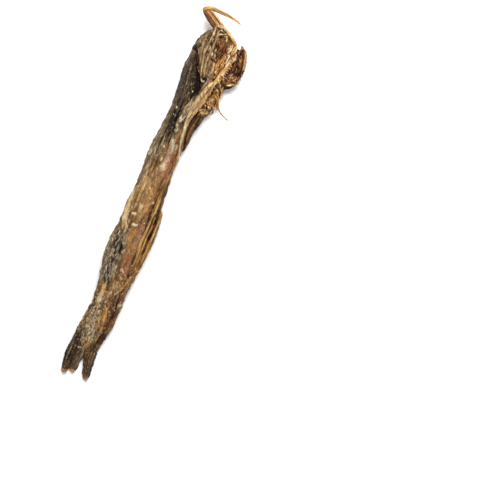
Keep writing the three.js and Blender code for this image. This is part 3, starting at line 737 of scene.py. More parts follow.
# The main strips of the fish, with routes of (x, y, z) and half sizes of (width, height)
MAIN_STRIPS = [
    skin("trunk", {},
         [(3.4, 62, 4.6), (2.9, 48, 4.6), (2.4, 32, 4.8), (3.4, 14, 4.9), (4.0, -4, 4.8), (5.2, -22, 4.7),
          (5.0, -40, 4.4), (6.9, -58, 3.9), (7.3, -74, 3.5), (6.6, -88, 3.2), (5.2, -100, 2.4),
          (4.8, -110, 1.5)],
         [(4.5, 2.4), (8.8, 4.0), (9.4, 4.8), (9.8, 5.1), (11.0, 5.0), (12.6, 4.8), (12.6, 4.5),
          (10.2, 4.1), (9.6, 3.6), (9.8, 3.2), (8.8, 2.2), (5.2, 1.1)],
         grain=0.06, ragged=0.03, relief=SHRIVELLED, sides=18,
         creases=[(40, 30, 0.16, 6), (75, -24, 0.12, 5), (110, 34, 0.16, 6), (150, -20, 0.12, 6),
                  (205, 26, 0.12, 9), (250, -30, 0.2, 9), (300, 24, 0.18, 9), (340, -12, 0.12, 8)]),
    skin("back_fold", {},
         [(-7.0, 108.4, 5.4), (-7.0, 104.6, 6.8), (-6.3, 99, 7.0), (-5.4, 92, 6.8), (-3.6, 80, 6.4),
          (-2.4, 66, 6.2), (-2.6, 50, 6.0), (-3.4, 34, 5.6), (-2.6, 18, 5.6), (-2.4, 0, 5.6),
          (-2.2, -14, 5.8)],
         [(1.5, 1.6), (2.2, 2.8), (3.0, 3.6), (4.2, 4.2), (4.2, 4.6), (4.2, 4.7), (4.6, 4.4), (4.6, 4.3),
          (4.3, 4.2), (3.6, 3.2), (1.6, 1.6)], grain=0.06, relief=SHRIVELLED,
         creases=[(70, 40, 0.16, 8), (118, 20, 0.16, 7), (260, -30, 0.16, 14)]),
    # a black sheet under the gap in the neck, as painted shade
    skin("gullet", BLACK_SHADE,
         [(-2.0, 104, 4.6), (0.2, 96, 4.4), (1.4, 86, 3.8), (2.4, 73, 3.6), (3.6, 62, 3.8),
          (3.4, 52, 4.2)],
         [(2.4, 2.4), (4.0, 2.6), (5.4, 2.6), (5.2, 2.4), (4.6, 2.6), (5.0, 3.0)],
         levels=2, relief=SHRIVELLED),
    skin("middle_fold", {},
         [(3.6, 68, 6.6), (2.9, 58, 7.0), (3.6, 46, 6.8), (4.8, 32, 6.4), (5.0, 16, 6.2), (4.6, 0, 6.0),
          (5.0, -18, 5.8), (5.6, -36, 5.2)],
         [(0.8, 1.2), (2.0, 2.6), (3.6, 3.4), (5.2, 3.8), (6.0, 4.0), (5.6, 4.0), (4.4, 3.2), (2.4, 1.8)],
         grain=0.06, relief=SHRIVELLED,
         creases=[(66, -10, 0.1, 7), (128, 14, 0.12, 7)]),
    skin("throat_fold", {"straw": 1.0, "cream": 0.32, "amber": 0.85},
         [(13.4, 89, 10.4), (11.6, 82, 9.9), (10.0, 75, 9.0), (8.3, 67, 8.4), (7.4, 59, 8.0),
          (8.4, 51, 7.6), (9.6, 43, 6.8), (11.2, 36, 5.8), (12.0, 28, 5.0)],
         [(1.6, 1.8), (2.7, 2.6), (3.0, 2.8), (2.5, 2.6), (1.5, 2.3), (1.0, 2.0), (0.9, 1.9), (0.8, 1.6),
          (0.6, 1.2)], grain=0.2, pitch=2.2, relief=TIGHT,
         creases=[(100, 20, 0.14, 9)]),
    skin("belly_fold", {"soot": 0.6},
         [(14.6, 72, 5.0), (13.0, 64, 4.6), (11.2, 55, 4.2), (11.6, 47, 4.0), (11.8, 40, 3.6)],
         [(1.5, 1.5), (3.0, 2.8), (2.8, 3.0), (2.2, 2.6), (1.2, 1.8)],
         grain=0.08, pitch=2.2, relief=SHRIVELLED,
         creases=[(60, 10, 0.16, 9), (110, -20, 0.16, 9)]),
    skin("grey_fold", {},
         [(-4.4, -14, 5.2), (-4.4, -26, 5.2), (-4.2, -38, 4.8), (-1.8, -50, 4.6), (1.6, -62, 4.6)],
         [(1.6, 1.6), (3.2, 2.8), (3.6, 3.0), (3.4, 2.8), (2.0, 1.8)],
         pitch=2.4, relief=SHRIVELLED, ripple=0.06,
         creases=[(60, 60, 0.2, 10), (130, -40, 0.2, 10)]),
    skin("lower_fold", {},
         [(8.4, -26, 5.8), (9.6, -42, 5.6), (9.4, -56, 5.0), (6.4, -70, 4.6), (3.2, -84, 4.0),
          (1.2, -98, 3.0)],
         [(2.0, 2.0), (3.8, 3.0), (4.2, 2.8), (3.6, 2.6), (3.4, 2.2), (2.6, 1.6)],
         pitch=2.6, relief=SHRIVELLED,
         creases=[(90, 40, 0.14, 8)]),
    skin("flank_fold", {},
         [(14.4, -46, 4.6), (13.8, -62, 4.4), (14.0, -74, 4.0), (13.4, -86, 3.6), (11.4, -98, 2.6)],
         [(2.2, 2.2), (2.6, 2.4), (3.0, 2.4), (3.4, 2.2), (3.0, 1.6)], pitch=2.6, relief=SHRIVELLED,
         creases=[(80, 30, 0.16, 9)]),
    skin("skull", {"rust": 0.3, "moss": 0.1},
         [(0.9, 124, 8.0), (2.4, 120.5, 7.4), (3.6, 115, 6.6), (4.2, 109, 6.2), (4.8, 103, 6.0),
          (6.6, 96, 6.4), (8.6, 89, 7.2), (10.0, 82, 7.8), (9.6, 75, 7.4)],
         [(2.6, 2.2), (6.0, 4.6), (9.6, 6.0), (11.2, 6.0), (9.8, 6.0), (7.4, 5.6), (4.8, 4.6), (3.0, 3.0),
          (1.4, 1.8)], grain=0.12, relief=SHRIVELLED, sides=18,
         creases=[(50, 26, 0.12, 6), (75, 10, 0.14, 6), (118, 20, 0.14, 6), (142, 26, 0.14, 6),
                  (170, 20, 0.1, 9), (230, 0, 0.12, 10), (290, 20, 0.14, 10)]),
    gill("snout", {"amber": 0.55},
         [(10.0, 119.6, 7.4), (13.6, 115.6, 7.2), (15.8, 110, 7.0), (16.2, 103, 6.8)],
         [(1.6, 1.6), (3.4, 2.6), (3.6, 3.0), (3.2, 3.0)],
         grain=0.12, levels=2, pitch=2.0, relief=SHREDDED),
    gill("mouth_wall", {"soot": 0.55},
         [(18.6, 115.8, 6.2), (18.9, 111, 5.8), (19.4, 106, 5.4), (19.6, 99, 5.4), (18.4, 93, 5.6)],
         [(1.0, 1.0), (2.0, 2.0), (2.4, 2.2), (2.4, 2.2), (2.0, 2.0)],
         grain=0.2, levels=2, pitch=2.0, relief=SHREDDED),
    gill("gill_bed", {"soot": 0.6},
         [(14.5, 90, 5.2), (19.6, 91.6, 4.6), (23.6, 94.2, 4.2), (27.0, 95.8, 3.8)],
         [(3.4, 2.6), (4.0, 2.4), (2.6, 2.0), (1.0, 1.0)],
         grain=0.3, levels=2, pitch=2.0, relief=SHREDDED),
    gill("gill_bed_low", {"amber": 0.3},
         [(15.6, 90, 4.8), (16.6, 83, 4.4), (15.8, 75, 4.4), (14.4, 66, 4.2)],
         [(3.4, 2.6), (3.2, 2.4), (3.2, 2.6), (2.6, 2.2)],
         grain=0.3, levels=2, pitch=2.0, relief=SHREDDED),
    gill("palate", {},
         [(14.6, 110, 5.4), (16.6, 104, 5.4), (17.2, 97, 5.8), (14.4, 89, 6.6)],
         [(3.0, 3.4), (4.2, 4.2), (4.0, 4.4), (2.6, 3.2)],
         grain=0.15, levels=2, pitch=2.0, relief=SHREDDED),
    gill("mouth_lining", {},
         [(20.8, 117.2, 6.0), (21.8, 112.4, 5.6), (23.0, 106, 5.4), (23.0, 100, 5.2), (21.0, 93.6, 5.4)],
         [(1.0, 1.0), (2.9, 2.0), (4.4, 2.4), (4.4, 2.4), (2.4, 2.0)],
         grain=0.16, pitch=2.0, relief=SHREDDED,
         creases=[(60, 40, 0.2, 10), (120, 20, 0.2, 10)]),
]

FLANK_STRIPS = [
    skin("flank_strip_1", {"amber": 0.7},
         [(10.6, 13, 7.4), (12.0, -8, 7.6), (12.6, -26, 7.0), (13.2, -40, 6.4)],
         [(0.5, 0.7), (1.2, 1.7), (1.2, 1.7), (0.6, 0.8)], grain=0.08),
    skin("flank_strip_2", {"rust": 0.9},
         [(13.0, 8, 4.8), (14.5, -6, 5.4), (15.1, -20, 5.4), (15.2, -34, 5.0), (15.4, -46, 4.6)],
         [(0.9, 1.6), (1.3, 2.2), (1.4, 2.4), (1.4, 2.2), (0.9, 1.4)]),
    skin("flank_strip_3", {"straw": 0.35},
         [(16.0, -1.0, 5.6), (16.9, -9, 5.8), (17.5, -20, 5.6), (17.4, -31, 5.2), (17.0, -43, 4.6)],
         [(1.1, 1.8), (1.4, 2.4), (1.5, 2.6), (1.5, 2.4), (1.1, 1.6)],
         end=0.14, grain=0.14, ragged=0.1, ripple=0.06,
         creases=[(12, 16, 0.2, 9), (335, -18, 0.24, 9), (48, -14, 0.14, 7), (120, 20, 0.2, 9)]),
]

# The lobes of the tail fin: the route and the half sizes of each, and the tones of its rays
TAIL_LOBES = [
    ([(-0.4, -88, 3.2), (-1.4, -101, 2.4), (-1.8, -111, 1.8), (-0.6, -123.5, 1.3)],
     [(2.8, 2.2), (3.2, 1.9), (2.9, 1.3), (2.3, 0.9)],
     ({"olive": 1.0, "soot": 0.45}, {"moss": 0.5, "olive": 0.5}, {"soot": 1.0},
      {"olive": 0.8, "soot": 0.5})),
    ([(4.6, -92, 3.0), (4.2, -103, 2.3), (3.8, -111, 1.6), (4.0, -121.0, 1.2)],
     [(3.0, 1.9), (3.4, 1.7), (3.0, 1.2), (2.3, 0.8)],
     ({"olive": 0.9, "soot": 0.4}, {"rust": 0.5, "soot": 0.6}, {"olive": 0.7, "soot": 0.4},
      {"olive": 0.6, "moss": 0.4})),
    ([(10.6, -88, 3.0), (10.2, -100, 2.2), (11.6, -111, 1.5), (14.4, -122.4, 1.2)],
     [(3.2, 2.1), (4.2, 1.8), (3.4, 1.2), (2.0, 0.8)],
     ({"soot": 0.6}, {"olive": 0.8}, {"rust": 0.7}, {"olive": 0.6})),
]
RAY_PLACES = (-0.72, -0.3, 0.12, 0.54)      # across a lobe, in shares of its half width
RAY_LIFT = 0.8                              # how far up the lobe's side a ray's middle line is
RAY_HALF = [(0.5, 0.5), (0.5, 0.45), (0.35, 0.3)]

# The hooked lower jaw, the upper jaw's edge and the toothed bar
BAR_WAY = [(18.2, 107.4, 10.6), (17.5, 103.8, 11.2), (16.7, 99, 11.4), (15.9, 94.6, 11.2),
           (14.6, 90.4, 10.8), (13.0, 86, 10.2)]
HEAD_BONES = [
    bone("lower_jaw_under", {"rust": 1.0},
         [(1.0, 120.8, 8.4), (-2.4, 122.9, 8.6), (-7.4, 125.9, 9.0), (-12.4, 128.9, 9.6)],
         [(1.2, 1.4), (1.5, 1.4), (1.4, 1.2), (0.9, 0.9)]),
    bone("lower_jaw_groove", {"cream": 0.12},
         [(2.6, 122.6, 8.6), (-1.6, 125.2, 8.8), (-6.4, 128.0, 9.4), (-11.6, 130.4, 9.8)],
         [(1.3, 1.1), (1.6, 1.2), (1.5, 1.1), (1.2, 0.9)], creases=[(80, 10, 0.3, 14)]),
    bone("lower_jaw_edge", {"cream": 0.3},
         [(5.6, 123.6, 8.8), (1.2, 126.2, 9.2), (-3.6, 128.9, 9.8), (-8.6, 130.9, 10.0)],
         [(0.8, 0.9), (0.9, 1.1), (0.9, 1.0), (0.8, 0.8)]),
    bone("lower_jaw_far", {"cream": 0.3},
         [(-13.0, 128.8, 9.8), (-10.4, 131.0, 10.0), (-6.0, 132.2, 10.0), (-1.0, 132.4, 9.6),
          (5.0, 132.2, 8.8), (10.2, 131.7, 7.8), (13.7, 130.4, 7.0)],
         [(1.0, 0.9), (1.4, 1.1), (1.4, 1.2), (1.3, 1.1), (1.1, 0.9), (0.85, 0.7), (0.3, 0.3)],
         creases=[(80, 10, 0.2, 12)]),
    bone("upper_jaw_edge", {"cream": 0.45},
         [(1.6, 124.2, 9.4), (7.0, 122.6, 9.6), (12.2, 119.9, 9.4), (17.2, 116.6, 9.6)],
         [(0.9, 1.0), (1.2, 1.2), (1.2, 1.2), (0.9, 0.9)]),
    bone("toothed_bar", {"cream": 0.5, "amber": 0.4}, BAR_WAY,
         [(0.7, 0.8), (1.5, 1.3), (1.6, 1.4), (1.6, 1.4), (1.4, 1.2), (1.0, 1.0)], grain=0.25, relief=()),
]

# The small blunt teeth on the outer edge of the toothed bar
TOOTH_COUNT = 8
FIRST_TOOTH = 0.24                    # its place, as a share of the bar
TEETH_SPAN = 0.5                      # from the first tooth to the last one
TOOTH_FOOT = 0.9                      # from the bar's middle line
TOOTH_REACH = 1.5
REACH_SPREAD = 0.4
REACH_TURN = 2.4                      # radians from one tooth to the next, which makes them unequal
TOOTH_MIDDLE = (0.6, -0.2, -0.1)      # where a tooth bends: a share of its reach, and millimetres
TOOTH_TIP = (1.0, -0.5, -0.6)
TOOTH_HALF = [(0.42, 0.42), (0.34, 0.34), (0.16, 0.16)]

# The tangle of gill arches and threads behind the mouth
GILL_ARCHES = [
    gill("gill_arch_1", {"blush": 0.5},
         [(14.5, 91, 7.4), (20, 92.0, 6.6), (24, 93.6, 5.6), (28, 95.4, 4.8)],
         [(1.6, 1.6), (1.6, 1.4), (1.1, 1.0), (0.35, 0.4)]),
    gill("gill_arch_2", {"cream": 0.3},
         [(16.5, 95, 8.4), (20.4, 97.4, 7.6), (24, 98.0, 6.6), (27.2, 96.6, 5.4)],
         [(1.4, 1.4), (1.3, 1.2), (0.9, 0.9), (0.35, 0.4)]),
    gill("gill_arch_3", {"blush": 0.5, "cream": 0.2},
         [(13.4, 91, 8.0), (18.0, 88.4, 6.6), (21.4, 85.4, 5.2)],
         [(1.6, 1.4), (1.5, 1.3), (0.5, 0.5)]),
    gill("gill_arch_4", {"amber": 0.5},
         [(13.2, 89, 8.2), (15.8, 84, 6.8), (17.4, 79.6, 5.4)],
         [(1.6, 1.5), (1.5, 1.3), (0.6, 0.6)]),
    gill("gill_arch_5", {"amber": 0.6, "cream": 0.2},
         [(16.8, 83, 6.2), (15.6, 76, 6.4), (14.6, 70, 6.0), (12.2, 64.5, 5.4)],
         [(1.3, 1.2), (2.2, 1.8), (2.4, 2.0), (1.4, 1.4)]),
]
GILL_THREADS = [
    gill("gill_thread_1", THREAD_TONE,
         [(15.6, 87, 6.8), (19.4, 81.2, 5.4), (23.2, 74.4, 3.4), (31.2, 70.6, 1.6)],
         [(0.6, 0.6), (0.55, 0.55), (0.5, 0.5), (0.45, 0.45)]),
    gill("gill_thread_2", THREAD_TONE,
         [(16.8, 84, 6.2), (19.0, 79.4, 4.8), (21.8, 73.8, 2.6)],
         [(0.6, 0.6), (0.5, 0.5), (0.45, 0.45)]),
    gill("gill_thread_3", THREAD_TONE,
         [(22.4, 98.6, 5.6), (25.2, 98.8, 5.2), (28.4, 98.2, 4.4)],
         [(0.7, 0.7), (0.6, 0.6), (0.45, 0.45)]),
]

# Strips laid over all of these, with routes of (x, y, lift over what is below). First the head: the temple,
# the cheek, the grooves of the jaw, the eye, the muscle behind it, and the snout
UPPER_STRIPS = [
    skin("temple_plate", {"moss": 0.7, "granular": 0.6},
         [(-2.6, 119, 0.2), (-4.4, 115.5, 0.4), (-5.8, 112, 0.5), (-6.6, 108.6, 0.5), (-6.4, 105.4, 0.2)],
         [(1.0, 1.0), (1.6, 1.6), (1.9, 2.0), (2.0, 1.9), (1.7, 1.2)], grain=0.2, relief=TIGHT),
    skin("cheek_plate", {"moss": 0.3, "straw": 0.3},
         [(-2.0, 118.6, 0.2), (-2.6, 114, 0.3), (-2.3, 109, 0.3), (-1.5, 104, 0.2), (0.2, 98, 0.1),
          (2.2, 91.6, 0.0)],
         [(1.0, 0.8), (1.7, 1.1), (2.1, 1.2), (1.9, 1.2), (1.4, 1.0), (0.6, 0.6)], relief=TIGHT,
         creases=[(118, -30, 0.3, 9)]),
    skin("cheek_fold", {"straw": 0.6},
         [(-4.6, 113, 0.3), (-4.2, 108, 0.4), (-2.8, 103.4, 0.4), (-1.0, 98.6, 0.4)],
         [(0.5, 0.5), (0.8, 0.8), (0.7, 0.8), (0.4, 0.4)], relief=TIGHT),
    skin("brow_ridge", {"straw": 1.0, "cream": 0.5},
         [(0.2, 122.4, 0.3), (0.5, 117, 0.5), (0.1, 110.5, 0.5), (0.3, 104.6, 0.5), (1.0, 99.4, 0.5),
          (2.4, 93.8, 0.6), (5.0, 87.0, 0.5)],
         [(0.5, 0.6), (0.6, 0.8), (0.55, 0.8), (0.62, 0.8), (0.62, 0.8), (0.6, 0.7), (0.45, 0.4)],
         grain=0.12, relief=TIGHT, rim=0.4),
    skin("second_ridge", {"straw": 1.0, "cream": 0.25},
         [(3.0, 121, 0.2), (3.2, 116.6, 0.3), (3.6, 112, 0.3), (3.3, 106.6, 0.4), (3.3, 101.6, 0.4),
          (4.4, 95.4, 0.4), (6.4, 88.4, 0.4)],
         [(0.7, 0.6), (0.85, 0.7), (0.6, 0.6), (0.8, 0.8), (0.95, 0.9), (0.9, 0.8), (0.5, 0.5)],
         grain=0.14, relief=TIGHT, rim=0.5),
    # black pieces in the gaps beside the temple and the cheek, as painted shade
    gill("temple_gap", HOLLOW_SHADE,
         [(-9.4, 105.4, 0.1), (-7.6, 104.5, 0.2), (-5.6, 103.9, 0.2), (-4.6, 102.2, 0.1)],
         [(0.7, 0.5), (1.3, 0.7), (1.5, 0.7), (0.7, 0.5)], ragged=0.3),
    gill("cheek_gap", HOLLOW_SHADE,
         [(-4.2, 101.4, 0.0), (-2.6, 97.6, 0.1), (-0.2, 93.4, 0.1), (2.2, 89.0, 0.1), (3.0, 85.4, 0.0)],
         [(0.4, 0.4), (0.7, 0.4), (0.8, 0.4), (0.9, 0.5), (0.8, 0.4)], ragged=0.3),
    gill("cheek_shade", {"soot": 0.9, "spots": False},
         [(5.0, 102.6, 0.0), (6.8, 101.6, 0.1), (9.2, 100.8, 0.0)],
         [(0.5, 0.4), (0.9, 0.4), (0.5, 0.4)], ragged=0.3),
    skin("cheek_end_1", {"straw": 0.3, "moss": 0.3},
         [(2.6, 100, 0.1), (3.8, 94, 0.3), (6.0, 87.8, 0.3)],
         [(0.5, 0.5), (0.8, 0.8), (0.4, 0.4)], grain=0.12, relief=TIGHT),
    skin("cheek_end_2", {"moss": 0.3},
         [(5.4, 101, 0.1), (6.2, 96, 0.4), (7.4, 89.4, 0.3)],
         [(0.7, 0.6), (1.2, 1.0), (0.6, 0.6)], grain=0.12, relief=TIGHT),
    skin("inner_strip", {"moss": 0.6, "soot": 0.35},
         [(1.9, 119.4, 0.0), (1.9, 115.4, 0.1), (1.7, 109.6, 0.0), (1.9, 102.4, 0.1), (2.9, 96.4, 0.0)],
         [(0.6, 0.5), (0.6, 0.5), (0.6, 0.4), (0.7, 0.6), (0.5, 0.4)], grain=0.2, relief=SHREDDED),
    skin("crown", {"straw": 1.0, "amber": 0.5, "cream": 0.5, "granular": 0.1, "spots": False},
         [(-0.6, 122.2, 0.1), (2.0, 123.2, 0.3), (4.8, 123.2, 0.3), (8.0, 121.6, 0.2)],
         [(0.8, 0.7), (1.4, 1.0), (1.4, 1.0), (0.8, 0.7)], grain=0.2, relief=TIGHT, rim=0.2),
    bone("jaw_groove_1", {"rust": 1.0, "soot": 0.6},
         [(1.4, 122.2, 0.0), (-3.0, 124.6, 0.1), (-7.6, 127.4, 0.1), (-11.8, 129.7, 0.0)],
         [(0.3, 0.3), (0.4, 0.3), (0.4, 0.3), (0.25, 0.25)], rim=0.0),
    bone("jaw_groove_2", {"rust": 1.0, "soot": 0.4},
         [(3.6, 123.8, 0.0), (0.2, 125.9, 0.1), (-4.0, 128.3, 0.1), (-8.4, 130.3, 0.0)],
         [(0.3, 0.3), (0.34, 0.3), (0.34, 0.3), (0.25, 0.25)], rim=0.0),
    bone("jaw_groove_3", {"rust": 1.0, "soot": 0.5},
         [(6.6, 121.4, 0.0), (10.4, 119.4, 0.1), (14.6, 116.8, 0.0)],
         [(0.3, 0.3), (0.5, 0.3), (0.3, 0.25)], rim=0.0),
    # the black pieces of the eye: painted shade in its slit, socket and hollow
    gill("eye_slit", BLACK_SHADE,
         [(2.8, 120.4, 0.1), (4.8, 120.5, 0.2), (7.0, 120.4, 0.1)],
         [(0.4, 0.4), (0.55, 0.4), (0.4, 0.4)]),
    gill("eye_lid", {"cream": 0.85, "spots": False},
         [(3.7, 116.6, 0.2), (4.3, 118.1, 0.5), (5.8, 119.0, 0.6), (7.4, 119.5, 0.3)],
         [(0.5, 0.5), (0.7, 0.7), (0.6, 0.7), (0.4, 0.4)], grain=0.1),
    gill("eye_ball", HOLLOW_SHADE,
         [(4.7, 115.8, 0.0), (5.7, 117.0, 0.1), (6.5, 118.0, 0.0)],
         [(0.5, 0.4), (0.85, 0.6), (0.5, 0.4)]),
    gill("eye_rim", {"cream": 1.0, "spots": False},
         [(7.8, 118.5, 0.2), (8.9, 118.4, 0.5), (9.6, 117.4, 0.5), (9.6, 115.8, 0.2)],
         [(0.35, 0.4), (0.42, 0.55), (0.42, 0.55), (0.3, 0.35)]),
    gill("eye_hollow", HOLLOW_SHADE,
         [(8.2, 117.8, -0.1), (8.7, 116.6, 0.0)],
         [(0.5, 0.4), (0.5, 0.4)]),
    gill("cheek_muscle_1", {"amber": 0.3},
         [(6.4, 116, 0.2), (6.4, 113, 0.5), (7.0, 110.4, 0.1)],
         [(0.9, 0.6), (1.6, 1.0), (0.7, 0.5)], grain=0.15, relief=SHREDDED),
    gill("cheek_muscle_2", {"soot": 0.7},
         [(5.0, 111.4, 0.1), (5.0, 108.6, 0.2), (5.6, 106, 0.0)],
         [(0.4, 0.4), (0.6, 0.5), (0.4, 0.4)]),
    gill("cheek_muscle_3", {"blush": 0.4, "chalk": 0.6},
         [(6.3, 109.8, 0.2), (6.4, 106, 0.5), (7.2, 102.6, 0.2)],
         [(0.4, 0.5), (0.6, 0.8), (0.4, 0.5)], relief=SHREDDED),
    gill("cheek_muscle_4", {"soot": 0.6},
         [(7.6, 112.4, 0.1), (7.9, 107.6, 0.2), (8.4, 102.6, 0.1)],
         [(0.6, 0.6), (0.8, 0.8), (0.5, 0.5)], relief=BONY),
    gill("cheek_muscle_5", {"amber": 0.4, "soot": 0.15},
         [(9.0, 115.6, 0.2), (9.2, 109, 0.4), (9.7, 102.6, 0.2)],
         [(0.7, 0.7), (0.9, 0.9), (0.6, 0.6)], relief=BONY),
    gill("cheek_muscle_6", {"soot": 0.35},
         [(10.5, 116.6, 0.2), (10.9, 110, 0.4), (11.0, 104, 0.2)],
         [(0.6, 0.7), (0.8, 0.9), (0.5, 0.6)], relief=BONY),
    gill("cheek_muscle_8", {"amber": 0.5, "chalk": 0.3},
         [(4.2, 114.6, 0.2), (4.2, 110, 0.4), (4.6, 106.8, 0.2)],
         [(0.4, 0.4), (0.5, 0.6), (0.3, 0.4)], relief=BONY),
    gill("cheek_muscle_9", {"amber": 0.3, "soot": 0.3},
         [(6.2, 101, 0.2), (7.2, 97.4, 0.4), (8.8, 93.6, 0.2)],
         [(0.5, 0.4), (0.7, 0.6), (0.5, 0.4)], relief=BONY),
    skin("cheek_muscle_10", {"straw": 0.8},
         [(8.4, 100.4, 0.2), (9.2, 96.6, 0.4), (9.6, 92.6, 0.2)],
         [(0.4, 0.4), (0.7, 0.6), (0.5, 0.4)], relief=TIGHT),
    gill("cheek_muscle_7", {"amber": 0.55},
         [(12.0, 117.2, 0.2), (12.2, 112.6, 0.4), (12.6, 108.4, 0.2)],
         [(0.5, 0.6), (0.7, 0.8), (0.5, 0.6)], relief=BONY),
    gill("cheek_knot", {"cream": 0.8},
         [(4.6, 106, 0.1), (4.9, 104.4, 0.4), (5.0, 102.8, 0.1)],
         [(0.4, 0.4), (0.7, 0.7), (0.4, 0.4)], grain=0.1),
    bone("maxilla_top", {"cream": 0.5, "chalk": 0.4, "spots": False},
         [(14.4, 115.8, 0.3), (14.2, 113.6, 0.6), (14.0, 111, 0.6), (13.7, 108, 0.4)],
         [(1.2, 0.6), (1.1, 0.8), (0.7, 0.8), (0.3, 0.5)], ragged=0.35, relief=BONY),
    bone("maxilla_low", {"cream": 0.6, "chalk": 0.5, "spots": False},
         [(15.6, 109.2, 0.6), (15.4, 105.8, 0.9), (15.2, 102.4, 0.5)],
         [(0.4, 0.5), (0.6, 0.7), (0.35, 0.5)], ragged=0.35, relief=BONY),
    bone("cheek_sheet", {"amber": 0.6},
         [(13.8, 109.4, 0.5), (12.9, 105, 0.8), (12.3, 100.6, 0.9), (12.2, 96, 0.9), (12.0, 91, 0.6)],
         [(0.8, 0.7), (1.7, 0.9), (2.6, 1.0), (2.8, 1.1), (2.0, 1.0)],
         grain=0.5, levels=3, rim=0.2, sides=10,
         creases=[(66, 70, 0.2, 9), (126, -60, 0.16, 8)]),
    bone("snout_bone", {"cream": 0.6},
         [(17.4, 116.6, 0.4), (16.8, 112.8, 0.7), (16.6, 109, 0.5)],
         [(0.9, 0.8), (1.5, 1.2), (0.9, 0.8)], relief=BONY,
         creases=[(90, 10, 0.3, 14)]),
    gill("gum", {"blush": 1.0, "cream": 0.3, "chalk": 0.4, "spots": False},
         [(19.0, 111.6, 0.9), (18.6, 107.8, 1.3), (18.4, 104.2, 0.9)],
         [(0.9, 0.8), (1.5, 1.1), (0.8, 0.7)], grain=0.15, ragged=0.25, relief=SHREDDED, rim=0.3),
    # the mouth's far side and the gills
    gill("far_jaw_rim", {"blush": 0.55, "cream": 0.25},
         [(21.4, 117.4, 0.2), (23.6, 115.4, 0.4), (25.4, 111.6, 0.4), (26.6, 107, 0.3), (26.8, 102, 0.2)],
         [(0.5, 0.6), (0.8, 0.9), (0.9, 1.0), (0.8, 0.9), (0.5, 0.5)], grain=0.2, relief=SHREDDED),
    gill("far_jaw_line", {"amber": 0.4},
         [(21.4, 107.6, 0.1), (23.8, 105.2, 0.3), (26.2, 101.6, 0.1)],
         [(0.4, 0.4), (0.55, 0.6), (0.3, 0.4)], relief=SHREDDED),
    gill("far_jaw_fold", {"soot": 0.5},
         [(20.2, 113, 0.1), (20.6, 106, 0.3), (21.4, 99, 0.1)],
         [(0.6, 0.6), (0.9, 0.9), (0.6, 0.6)], relief=SHREDDED),
    gill("snout_tag", {"chalk": 1.0, "spots": False},
         [(21.8, 117.2, 0.8), (23.2, 116.8, 1.1), (24.4, 115.6, 0.8)],
         [(0.5, 0.5), (0.8, 0.6), (0.5, 0.4)], grain=0.15),
    gill("mouth_strand", {"blush": 0.3},
         [(20.4, 116.4, 0.2), (20.0, 111, 0.5), (20.6, 105, 0.5), (20.8, 100, 0.2)],
         [(0.6, 0.6), (0.9, 0.8), (0.8, 0.8), (0.5, 0.5)], grain=0.2, relief=SHREDDED),
    gill("snout_knob", {"amber": 1.0},
         [(19.2, 118.0, 0.2), (20.5, 117.4, 0.5), (20.6, 115.2, 0.2)],
         [(0.7, 0.7), (1.2, 1.0), (0.7, 0.7)], grain=0.2),
    # black pieces in the holes of the mouth, as painted shade
    gill("mouth_hole_1", BLACK_SHADE,
         [(21.9, 115.4, 0.0), (21.8, 112.6, 0.0)],
         [(0.5, 0.3), (0.8, 0.3)]),
    gill("mouth_hole_2", BLACK_SHADE,
         [(22.8, 100.0, 0.0), (25.8, 99.4, 0.0)],
         [(0.4, 0.3), (0.7, 0.4)]),
    gill("mouth_hole_3", BLACK_SHADE,
         [(21.0, 98.0, 0.1), (21.2, 95.6, 0.1)],
         [(0.5, 0.4), (0.5, 0.4)]),
    gill("gill_edge", {"cream": 0.8, "blush": 0.4},
         [(20.2, 90.2, 0.2), (24, 92.2, 0.2), (27.8, 95.2, 0.2)],
         [(0.4, 0.4), (0.55, 0.6), (0.4, 0.4)], relief=SHREDDED),
    gill("gill_string", {"cream": 1.0},
         [(15.0, 93.0, 0.2), (15.5, 90.6, 0.4), (17.2, 89.2, 0.4), (19.6, 88.4, 0.2)],
         [(0.3, 0.3), (0.45, 0.5), (0.45, 0.5), (0.3, 0.3)]),
    gill("gill_knot_1", {"amber": 0.7, "cream": 0.4},
         [(18.0, 92.8, 0.2), (18.9, 91.2, 0.3)],
         [(0.8, 0.7), (0.8, 0.7)], grain=0.2),
    gill("gill_knot_2", {"amber": 0.6, "cream": 0.5},
         [(21.6, 96.4, 0.3), (23.6, 96.8, 0.3)],
         [(0.9, 0.7), (0.7, 0.6)], grain=0.2),
    gill("gill_knot_3", {"cream": 0.6, "amber": 0.4},
         [(16.0, 85.8, 0.3), (17.8, 84.6, 0.3)],
         [(0.7, 0.7), (0.8, 0.7)], grain=0.2),
    gill("gill_curl_1", {"amber": 0.7, "cream": 0.5},
         [(11.2, 70.6, 0.3), (13.2, 67.6, 0.5), (16.0, 68.4, 0.5), (17.6, 70.4, 0.3)],
         [(0.5, 0.5), (0.8, 0.8), (0.8, 0.8), (0.4, 0.4)], grain=0.1),
    gill("gill_curl_2", {"cream": 1.0},
         [(12.8, 71.6, 0.4), (15.0, 73.0, 0.5), (17.0, 72.4, 0.3)],
         [(0.6, 0.6), (0.9, 0.8), (0.5, 0.5)], grain=0.15),
    gill("gill_curl_3", {"blush": 0.8, "cream": 0.3},
         [(17.2, 88.2, 0.2), (19.6, 86.0, 0.5), (20.6, 82.8, 0.4), (19.2, 80.2, 0.2)],
         [(0.4, 0.4), (0.6, 0.6), (0.6, 0.6), (0.35, 0.4)], grain=0.1, rim=0.4),
    gill("gill_curl_4", {"amber": 0.9},
         [(15.2, 82.4, 0.2), (17.6, 80.8, 0.5), (19.8, 78.2, 0.4), (19.4, 75.0, 0.2)],
         [(0.4, 0.4), (0.65, 0.65), (0.6, 0.6), (0.35, 0.4)], grain=0.1, rim=0.4),
    gill("gill_curl_5", {"blush": 0.5, "amber": 0.6},
